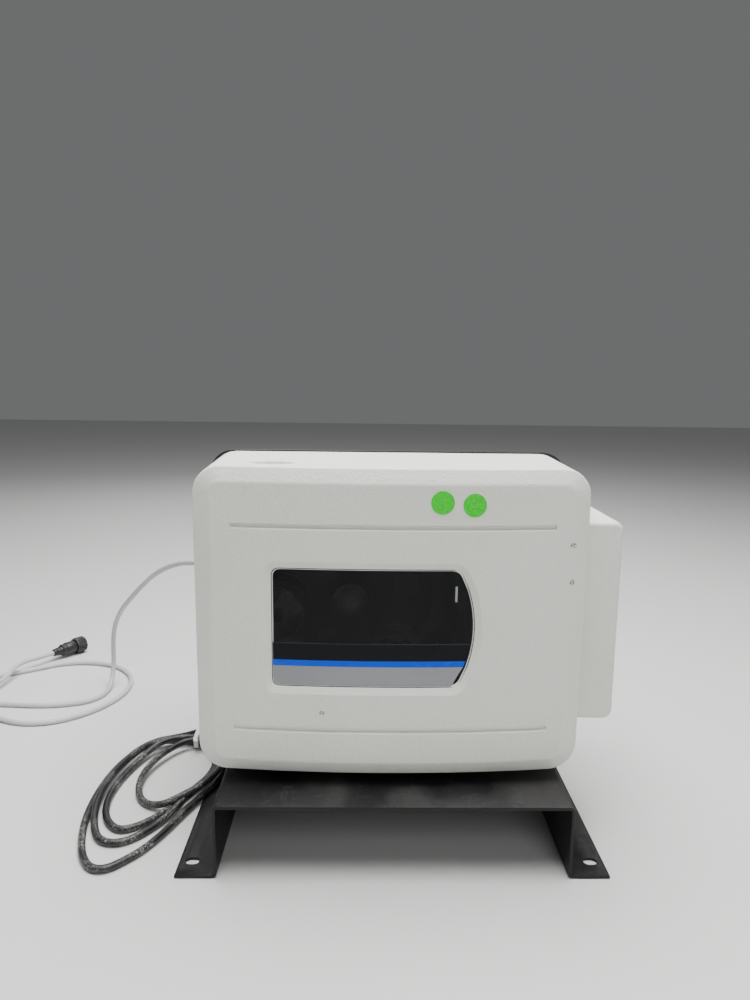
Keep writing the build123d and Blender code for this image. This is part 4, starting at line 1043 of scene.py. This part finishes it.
# ======== Stand ========
@dataclass
class Stand:
    """The bent sheet stand and its rubber mounts."""

    half: float = 0.175
    foot: float = 0.038
    height: float = 0.0762
    depth: float = 0.2794
    sheet: float = 0.0032
    bend: float = 0.0020
    slots: Flat = (0.200, 0.1177)
    slot: Flat = (0.014, 0.010)
    mounts_x: Range = (-0.1445, 0.1355)
    mounts_y: Range = (0.058, 0.122)
    bolt: float = 0.0045

    def build(self) -> None:
        """Makes and dresses the stand and its mounts."""
        self.bracket()
        self.mounts()

    def profile(self) -> list[Flat]:
        """The hat section's outline with rounded bends."""
        t = self.sheet
        reach, inside, top = self.half + self.foot, self.half - t, self.height
        order = [(-inside, top - t), (-inside, 0.0), (-reach, 0.0), (-reach, t), (-self.half, t),
                 (-self.half, top), (self.half, top), (self.half, t), (reach, t), (reach, 0.0), (inside, 0.0),
                 (inside, top - t)]
        wide = {(inside, 0.0), (self.half, top)}
        tight = {(inside, top - t), (self.half, t)}
        line: list[Flat] = []
        for n, corner in enumerate(order):
            before, after = order[n - 1], order[(n + 1) % len(order)]
            key = (abs(corner[0]), corner[1])
            if key in wide:
                line += rounded(corner, before, after, self.bend + t, 6)
            elif key in tight:
                line += rounded(corner, before, after, self.bend, 4)
            else:
                line.append(corner)
        return line

    def bracket(self) -> None:
        """The folded sheet with its slotted feet."""
        front = -self.depth / 2
        piece = Shop.outline("stand_sheet", [(x, front, z) for x, z in self.profile()])
        Shop.thicken(piece, (0.0, self.depth, 0.0))
        tools = []
        for x in (-self.slots[0], self.slots[0]):
            for y in (-self.slots[1], self.slots[1]):
                tools.append(self.slot_tool(x, y))
        for x in self.mounts_x:
            for y in self.mounts_y:
                ring = circle((x, y), self.bolt, 24)
                tools.append(loft("bolt_tool", [[(a, b, z) for a, b in ring] for z in (0.065, 0.085)]))
        Shop.cut(piece, *tools)
        Shop.soften(piece, 0.0004, 2, 50.0)
        Shop.finish(piece, PowderCoat(dust=0.6).make(), "base", "stand_paint", ["stand_bracket"], 30.0)

    def slot_tool(self, x: float, y: float) -> Piece:
        """A round-ended hole through a foot."""
        reach = self.slot[1] / 2
        line = stadium((x, y), self.slot[0] / 2 - reach, reach, 12)
        return loft("slot_tool", [[(a, b, z) for a, b in line] for z in (-0.002, 0.006)])

    def mounts(self) -> None:
        """The waisted rubber mounts between the stand and the housing."""
        profile = [(0.004, 0.0), (0.0125, 0.0), (0.0137, 0.0012), (0.0137, 0.003), (0.0124, 0.0048),
                   (0.0119, 0.0069), (0.0124, 0.0090), (0.0137, 0.0108), (0.0137, 0.0126), (0.0125, 0.0138),
                   (0.004, 0.0138)]
        pads = []
        for x in self.mounts_x:
            for y in self.mounts_y:
                pads.append(Shop.lathe("pad", profile, Matrix.Translation((x, y, self.height)), 40))
        piece = Shop.fuse("rubber_mounts", pads)
        Shop.finish(piece, SoftRubber().make(), "base", "rubber", ["isolators"])


# ======== Cords ========
@dataclass
class Cord:
    """One free cord along a smooth line."""

    name: str
    points: Sequence[Point]
    diameter: float
    finish: CordJacket
    slot: str
    nodes: Sequence[str]
    exit: Point
    length: float
    far_end: str
    stiffness: str
    lay: str

    def build(self, body: str, on_it: Sequence[Any]) -> Piece:
        """Makes the cord.

        Args:
            body: The body that it rides on.
            on_it: The pieces that belong to the cord; not used.

        Returns:
            The cord's curve.
        """
        Shop.clear()
        curve = bpy.data.curves.new(self.name, "CURVE")
        curve.dimensions = "3D"
        curve.resolution_u = 8
        curve.bevel_depth = self.diameter / 2
        curve.bevel_resolution = 5
        curve.use_fill_caps = True
        line = curve.splines.new("NURBS")
        line.points.add(len(self.points) - 1)
        for point, place in zip(line.points, self.points):
            point.co = (*place, 1.0)
        line.order_u = 3
        line.use_endpoint_u = True
        piece = bpy.data.objects.new(self.name, curve)
        bpy.context.scene.collection.objects.link(piece)
        Shop.finish(piece, self.finish.make(), body, self.slot, self.nodes, None)
        return piece


def metres(points: Sequence[Point]) -> list[Point]:
    """Turns points in millimetres into metres."""
    return [(x / 1000.0, y / 1000.0, z / 1000.0) for x, y, z in points]


def turning(profile: Sequence[Flat]) -> list[Flat]:
    """Turns a lathe profile in millimetres into metres."""
    return [(r * 0.001, h * 0.001) for r, h in profile]


SIGNAL_ROUTE = metres([
    (-183, 96, 253), (-218, 96.5, 253), (-246, 113, 250), (-271, 137, 242.4), (-296.7, 163, 228.5),
    (-320, 190.5, 211.1), (-343.6, 215, 189.2), (-367.6, 238.5, 164), (-389, 258, 139.7),
    (-403.7, 278, 118.2), (-415, 293.5, 95), (-421.5, 304.5, 67.9), (-423, 308.3, 38), (-422.6, 298, 14.8),
    (-422, 279, 3.6), (-424.5, 254, 3.6), (-438, 236.5, 3.6), (-463, 227, 3.6), (-500, 221.5, 3.6),
    (-540, 224.5, 3.6), (-575, 227, 3.6), (-610, 231, 3.6), (-642, 246, 3.6), (-658, 275, 3.6),
    (-648, 304, 3.6), (-618, 324, 3.6), (-588, 341, 3.6), (-561, 358.5, 3.6), (-538, 375.5, 3.6),
    (-510, 382.5, 3.6), (-479, 381.5, 3.6), (-451, 373, 3.6), (-428, 358.5, 3.6), (-405, 331, 3.6),
    (-393, 297, 3.6), (-394.5, 257, 3.6), (-408, 222, 3.6), (-430, 193, 3.6), (-459, 172.5, 3.6),
    (-491, 165.5, 3.6), (-522, 171.5, 3.6), (-550, 186, 4.2), (-575, 200, 11), (-591, 219, 18),
    (-596.5, 246, 18), (-594, 273, 12), (-589.5, 300, 12.5), (-589, 328, 18), (-585, 354, 17),
    (-572, 376.5, 14), (-556, 398.7, 14),
])

LEAD_ROUTE = [
    (-150, 130, 130), (-150.6, 172, 130), (-160, 200, 110), (-178, 206, 76), (-200, 190, 45),
    (-217, 162, 31), (-226, 136, 25),
]
OUTER_LOOP = [
    (-238, 122, 20), (-256, 124, 12.5), (-278, 128, 5), (-300, 122.5, 4.1), (-318, 103, 4.1),
    (-329, 71, 4.1), (-336, 36, 4.1), (-337, -8, 4.1), (-333, -48, 4.1), (-324, -83.5, 4.1),
    (-312, -113, 4.1), (-297, -131, 4.1), (-281.5, -132, 4.1), (-268, -119.5, 4.1), (-253.5, -102, 4.1),
    (-240, -73, 4.1), (-229, -41, 4.2), (-218, -16, 6.2), (-205, 12, 7.4), (-200, 46, 7.4), (-212, 86, 6.4),
    (-232, 108, 4.4),
]
THIRD_LOOP = [
    (-254, 117, 4.2), (-276, 118, 5.2), (-296, 109.5, 9), (-312, 90, 11.8), (-323, 60, 12), (-329, 28, 12),
    (-329.5, -8, 11.8), (-326, -38, 10), (-318, -65, 5), (-305, -87, 4.1), (-287, -93, 4.1),
    (-270, -85, 4.1), (-253, -63, 4.1), (-240, -40, 6.5), (-228, -14, 12.5), (-212, 14, 15.2),
    (-205, 46, 15.2), (-216, 84, 14.4), (-234, 108, 12.6),
]
SECOND_LOOP = [
    (-254, 116, 12.2), (-274, 113, 12.4), (-293, 100, 12.4), (-306, 78, 8), (-316, 48, 4.4), (-321, 16, 4.1),
    (-321, -14, 4.1), (-314, -42, 4.1), (-303, -60, 4.1), (-288.5, -71, 4.1), (-272, -64, 4.1),
    (-257, -49, 4.1), (-243, -25, 4.1), (-228, 4, 4.4), (-215.5, 28, 7), (-211, 54, 8.6), (-222, 86, 8),
    (-238, 104, 12),
]
INNER_LOOP = [
    (-254, 108, 12.8), (-272, 92, 12), (-288, 62, 11), (-296, 28, 8), (-290, -4, 5), (-276, -23, 4.1),
    (-255, -32, 8), (-236, -24, 14), (-215, -10, 19), (-201, 16, 22.8), (-197, 50, 20.5),
]
TAIL_ROUTE = [
    (-199, 84, 14), (-199, 112, 10), (-192, 138, 6.5), (-170, 160, 4.1), (-136, 172, 4.1), (-96, 176, 4.1),
    (-64, 173, 9), (-34, 171.6, 13), (4, 172, 13),
]
POWER_ROUTE = metres(LEAD_ROUTE + OUTER_LOOP + THIRD_LOOP + SECOND_LOOP + INNER_LOOP + TAIL_ROUTE)

# Lathe profiles in millimetres, as radius and height.
CONNECTOR_BODY = turning([
    (3.6, 0.0), (5.4, 0.0), (6.1, 0.8), (6.4, 3.0), (6.1, 3.6), (6.1, 5.2), (6.7, 5.8), (6.9, 8.0),
    (6.5, 8.6), (6.5, 10.2), (7.3, 10.8), (7.8, 13.5), (9.3, 14.4), (9.8, 15.2), (9.8, 21.6), (10.4, 22.2),
    (10.8, 23.0), (10.8, 37.4), (10.4, 38.2), (9.9, 39.0), (9.9, 55.4), (9.5, 56.0), (8.7, 56.0),
    (8.7, 40.0), (6.0, 38.0), (6.0, 20.0), (3.6, 18.0),
])
CONNECTOR_NUT = turning([
    (10.25, 39.5), (12.6, 39.5), (13.2, 40.1), (13.7, 41.6), (13.75, 48.0), (13.7, 54.6), (13.2, 56.2),
    (12.6, 57.0), (10.25, 57.0),
])
PLUG_RELIEF = turning([
    (4.0, 0.0), (8.0, 0.0), (7.7, 3.0), (6.9, 3.4), (6.9, 5.0), (7.4, 5.4), (7.1, 8.4), (6.4, 8.8),
    (6.4, 10.4), (6.9, 10.8), (6.6, 13.8), (6.0, 14.2), (6.0, 15.8), (6.4, 16.2), (6.0, 22.0), (5.6, 23.5),
    (4.0, 23.5),
])


@dataclass
class CordSet:
    """Both cords with the connector, the plug and the tie."""

    connector_back: Point = (-0.557, 0.3973, 0.014)
    connector_turn: float = radians(54.9)
    plug: Point = (-0.010, 0.172, 0.013)
    signal_exit: Point = (-0.2070, 0.0962, 0.2530)
    power_exit: Point = (-0.1502, 0.1560, 0.1300)
    knurls: int = 24
    knurl_from: float = 0.0133
    knurl_depth: float = 0.0011
    plug_size: Point = (0.040, 0.027, 0.026)
    tie_middle: Flat = (0.1155, 0.0105)
    tie_half: Flat = (0.0142, 0.0100)

    def build(self) -> None:
        """Makes the cords and what is on them."""
        black = BlackMoulding("connector_black", roughness=0.42, wear=0.5).make()
        connector = self.connector(black)
        plug = self.mains_plug()
        tie = self.tie()
        grey = CordJacket("grey_jacket", (0.50, 0.51, 0.52), (0.16, 0.155, 0.145), 0.50, 0.72, 0.42, 0.30)
        dark = CordJacket("black_jacket", (0.012, 0.012, 0.013), (0.42, 0.41, 0.385), 0.47, 0.64, 0.40, 0.66)
        signal = Cord("signal_cable_line", SIGNAL_ROUTE, 0.0070, grey, "cable_grey", ["signal_cable"],
                      self.signal_exit, 1.59, "connector", "medium", "loose")
        signal.build("base", connector)
        nodes = ["power_cord_lead", "power_cord_hank", "power_cord_tail"]
        power = Cord("power_cord_line", POWER_ROUTE, 0.0078, dark, "cord_black", nodes,
                     self.power_exit, 2.43, "plug", "medium", "coiled")
        power.build("base", [plug, tie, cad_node("plug_pins")])

    def along(self) -> Matrix:
        """Local Z from the cable to the connector's nose."""
        turn = Matrix.Rotation(self.connector_turn, 4, "Z") @ Matrix.Rotation(pi / 2, 4, "Y")
        return Matrix.Translation(self.connector_back) @ turn

    def connector(self, black: Material) -> list[Any]:
        """The round connector: its body, its knurled ring and its contacts."""
        shell = Shop.lathe("connector_body", CONNECTOR_BODY, self.along(), 56)
        Shop.finish(shell, black, "base", "black_matte", ["connector_shell"], 30.0)
        ring = Shop.lathe("connector_nut", CONNECTOR_NUT, Matrix.Identity(4), 96)
        for vertex in ring.data.vertices:
            reach = hypot(vertex.co.x, vertex.co.y)
            if reach > self.knurl_from:
                dent = 0.5 + 0.5 * cos(self.knurls * atan2(vertex.co.y, vertex.co.x))
                share = (reach - self.knurl_depth * (1.0 - dent) ** 2) / reach
                vertex.co.x *= share
                vertex.co.y *= share
        ring.data.transform(self.along())
        Shop.finish(ring, black, "connector_ring", "black_matte", ["coupling_ring"], 40.0)
        return [shell, ring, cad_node("connector_pins")]

    def mains_plug(self) -> Piece:
        """The moulded plug that lies behind the stand."""
        x, y, z = self.plug
        length, width, height = self.plug_size
        body = Shop.block("mains_plug_body", (x, y - width / 2, 0.0), (x + length, y + width / 2, height))
        Shop.bevel(body, lambda e: abs(e.verts[0].co.x - e.verts[1].co.x) > 0.03, 0.0072, 6)
        Shop.pick(body, "FACE", lambda f: f.normal.x < -0.9)
        bpy.ops.transform.resize(value=(1.0, 0.78, 0.78), center_override=(x, y, z))
        Shop.done(body)
        Shop.soften(body, 0.0012, 3, 40.0)
        place = Matrix.Translation((x + 0.001, y, z)) @ Matrix.Rotation(-pi / 2, 4, "Y")
        sleeve = Shop.lathe("plug_relief", PLUG_RELIEF, place, 40)
        piece = Shop.fuse("mains_plug_moulding", [body, sleeve])
        finish = BlackMoulding("plug_black", (0.014, 0.014, 0.015), 0.5, 1000.0, 0.3).make()
        return Shop.finish(piece, finish, "base", "cord_black", ["mains_plug"])

    def tie(self) -> Piece:
        """The flat white tie round the cord's turns, with its twisted ends."""
        mid_y, mid_z = self.tie_middle
        half_y, half_z = self.tie_half
        squarer = lambda c: abs(c) ** -0.25 if abs(c) > 0.02 else 1.0
        ring = []
        for n in range(40):
            a = 2 * pi * n / 40
            y = mid_y + half_y * cos(a) * squarer(cos(a))
            z = mid_z + half_z * sin(a) * squarer(sin(a))
            ring.append((y, max(z, 0.0006)))
        loops = []
        for x, scale in ((-0.2500, 1.0), (-0.2498, 1.042), (-0.2442, 1.042), (-0.2440, 1.0)):
            loops.append([(x, mid_y + (y - mid_y) * scale, max(mid_z + (z - mid_z) * scale, 0.0004))
                          for y, z in ring])
        inner = [[(x, mid_y + (y - mid_y) * 0.955, mid_z + (z - mid_z) * 0.94) for y, z in ring]
                 for x in (-0.2440, -0.2500)]
        band = loft("tie_band", loops + inner + [loops[0]], caps=False)
        tail = Shop.block("tie_tail", (-0.2496, 0.0990, 0.0196), (-0.2444, 0.1080, 0.0206))
        Shop.pick(tail, "FACE", lambda f: f.normal.y < -0.9)
        bpy.ops.mesh.extrude_region_move(TRANSFORM_OT_translate={"value": (0.0010, -0.0050, 0.0012)})
        bpy.ops.mesh.extrude_region_move(TRANSFORM_OT_translate={"value": (0.0012, -0.0040, -0.0024)})
        Shop.done(tail)
        Shop.soften(tail, 0.0003, 2, 50.0)
        piece = Shop.fuse("white_tie", [band, tail])
        finish = BlackMoulding("tie_white", (0.70, 0.70, 0.66), 0.45, 900.0, 0.15).make()
        return Shop.finish(piece, finish, "base", "tie_white", ["cord_tie"], 40.0)


# ======== Frame nodes that keep their own shape ========
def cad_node(name: str) -> Piece:
    """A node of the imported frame."""
    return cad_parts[name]


@dataclass
class Works:
    """The frame's own nodes, which keep their shape and get their finishes."""

    rotor: Flat = (-0.045, 0.2505)
    roller_circle: float = 0.076

    def build(self) -> None:
        """Dresses every node that has no piece of its own."""
        for finish, names in self.finishes():
            material = finish.make()
            for name in names:
                self.dress(name, material)

    @staticmethod
    def dress(name: str, material: Material) -> None:
        """Puts a finish on a node."""
        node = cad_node(name)
        if not node.data.materials:
            node.data.materials.append(material)
        for place in node.material_slots:
            place.material = material
        log.info("%s is dressed in %s", name, material.name)

    def roller_centre(self, number: int) -> Flat:
        """Where a roller turns, by its number from 0."""
        angle = radians(187.0 + 120.0 * number)
        x, z = self.rotor
        return (x + self.roller_circle * cos(angle), z + self.roller_circle * sin(angle))

    def finishes(self) -> list[tuple[Any, list[str]]]:
        """Each finish with the nodes that have it."""
        rows = [
            (BareMetal("zinc_plate", (0.56, 0.57, 0.58), 0.34, Lay.EVEN, 700.0, 0.25),
             ["mounting_bolts", "bulge_screws", "head_screws", "panel_screws", "catch_magnet", "catch_plate",
              "rotor_nut"]),
            (BareMetal("ground_steel", (0.60, 0.60, 0.59), 0.22, Lay.EVEN, 1200.0, 0.15),
             ["guide_rods", "main_bearing", "hinge_pins", "lever_pivot", "drive_shaft", "roller_axles",
              "bed_pin"]),
            (BareMetal("milled_plate", (0.60, 0.61, 0.62), 0.34, Lay.ALONG_X, 520.0, 0.2),
             ["head_plate", "rod_blocks"]),
            (BareMetal("cast_case", (0.34, 0.35, 0.36), 0.55, Lay.EVEN, 260.0, 0.35), ["gearbox_case"]),
            (BareMetal("lever_plate", (0.42, 0.42, 0.42), 0.36, Lay.ALONG_X, 600.0, 0.3),
             ["occlusion_lever"]),
            (BareMetal("gear_steel", (0.36, 0.36, 0.35), 0.28, Lay.EVEN, 800.0, 0.4),
             ["output_gear", "idler_gears", "motor_shaft"]),
            (BareMetal("plated_contacts", (0.72, 0.60, 0.34), 0.25, Lay.EVEN, 900.0, 0.1),
             ["connector_pins", "plug_pins"]),
            (BlackMoulding("housing_black", (0.015, 0.015, 0.016), 0.52, 700.0, 0.35), ["rear_housing"]),
            (BlackMoulding("nylon_black", (0.02, 0.02, 0.021), 0.5, 1200.0, 0.25),
             ["upper_tube_guide", "lower_tube_guide", "lever_grip", "signal_gland", "cord_gland"]),
            (BlackMoulding("switch_black", (0.012, 0.012, 0.012), 0.25, 2000.0, 0.1),
             ["power_switch", "switch_rocker"]),
            (PowderCoat("hinge_paint", (0.013, 0.013, 0.014), 0.3),
             ["hinge_leaves_cover", "hinge_leaves_fixed"]),
            (PowderCoat("panel_paint", (0.018, 0.018, 0.019), 0.3), ["rear_panel"]),
            (BlackMoulding("motor_black", (0.03, 0.03, 0.033), 0.4, 900.0, 0.2), ["motor_body"]),
            (SoftRubber("seal_rubber"), ["housing_gasket", "shaft_seal", "window_gasket"]),
            (CircuitBoard(), ["control_board"]),
            (TurnedMetal("rotor_face", self.rotor, (0.46, 0.47, 0.48), 0.34, 0.0009), ["rotor_carrier"]),
            (BareMetal("track_metal", (0.50, 0.50, 0.51), 0.30, Lay.EVEN, 400.0, 0.2), ["occlusion_bed"]),
        ]
        for n in range(3):
            face = TurnedMetal("roller_face_%d" % n, self.roller_centre(n))
            rows.append((face, ["roller_%d" % (n + 1)]))
        return rows


# ======== Room ========
@dataclass
class Room:
    """The camera, the lights and the floor."""

    eye: Point = (-0.0329, -0.7641, 0.4812)
    pitch: float = 0.1685
    yaw: float = 0.0170
    roll: float = -0.0126
    lens: float = 25.69

    def build(self) -> None:
        """Sets up the camera, the lights and the floor."""
        self.camera()
        self.lights()
        self.floor()

    def camera(self) -> None:
        """The camera, a little above the cover's top and looking slightly down."""
        cp, sp, cy, sy = cos(self.pitch), sin(self.pitch), cos(self.yaw), sin(self.yaw)
        forward = Vector((sy * cp, cy * cp, -sp))
        across = Vector((cy, -sy, 0.0))
        down = forward.cross(across)
        cr, sr = cos(self.roll), sin(self.roll)
        right = cr * across + sr * down
        lower = -sr * across + cr * down
        data = bpy.data.cameras.new("view")
        data.lens = self.lens
        data.sensor_width = 36.0
        data.sensor_fit = "AUTO"
        data.clip_start = 0.02
        piece = bpy.data.objects.new("view", data)
        matrix = Matrix((right, -lower, -forward)).transposed().to_4x4()
        matrix.translation = self.eye
        piece.matrix_world = matrix
        bpy.context.scene.collection.objects.link(piece)
        bpy.context.scene.camera = piece

    def lights(self) -> None:
        """Soft light from above, in front and behind, with a pale surround."""
        aim = Vector((0.0, 0.0, 0.2))
        for name, place, size, power in (
            ("overhead", (0.05, 0.02, 1.9), 1.6, 96.0),
            ("front", (0.55, -2.1, 1.7), 1.1, 14.0),
            ("back", (-0.6, 2.0, 1.5), 1.4, 9.0),
        ):
            data = bpy.data.lights.new(name, "AREA")
            data.shape = "SQUARE"
            data.size = size
            data.energy = power
            piece = bpy.data.objects.new(name, data)
            piece.location = place
            piece.rotation_euler = (aim - Vector(place)).to_track_quat("-Z", "Y").to_euler()
            bpy.context.scene.collection.objects.link(piece)
        world = bpy.data.worlds.new("room")
        world.use_nodes = True
        surround = world.node_tree.nodes["Background"]
        surround.inputs["Color"].default_value = (0.80, 0.81, 0.82, 1.0)
        surround.inputs["Strength"].default_value = 0.19
        bpy.context.scene.world = world

    def floor(self) -> None:
        """A pale matt floor with a faint cloudiness."""
        Shop.clear()
        bpy.ops.mesh.primitive_plane_add(size=14.0, location=(0.0, 0.0, -0.0002))
        piece = bpy.context.object
        piece.name = "floor"
        s = Shader("pale_floor")
        cloud = s.noise(2.0, 3.0)
        s.feed("Base Color", s.blend(cloud, (0.62, 0.62, 0.61), (0.66, 0.66, 0.65)))
        s.feed("Roughness", 0.65 + cloud * 0.05)
        piece.data.materials.append(s.material)


def main() -> None:
    """Builds the room, the cords and every sub-assembly in order."""
    logging.basicConfig(level=logging.INFO, format="%(message)s")
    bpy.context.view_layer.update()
    Room().build()
    CordSet().build()
    Stand().build()
    Cover().build()
    Works().build()


if __name__ == "__main__":
    main()
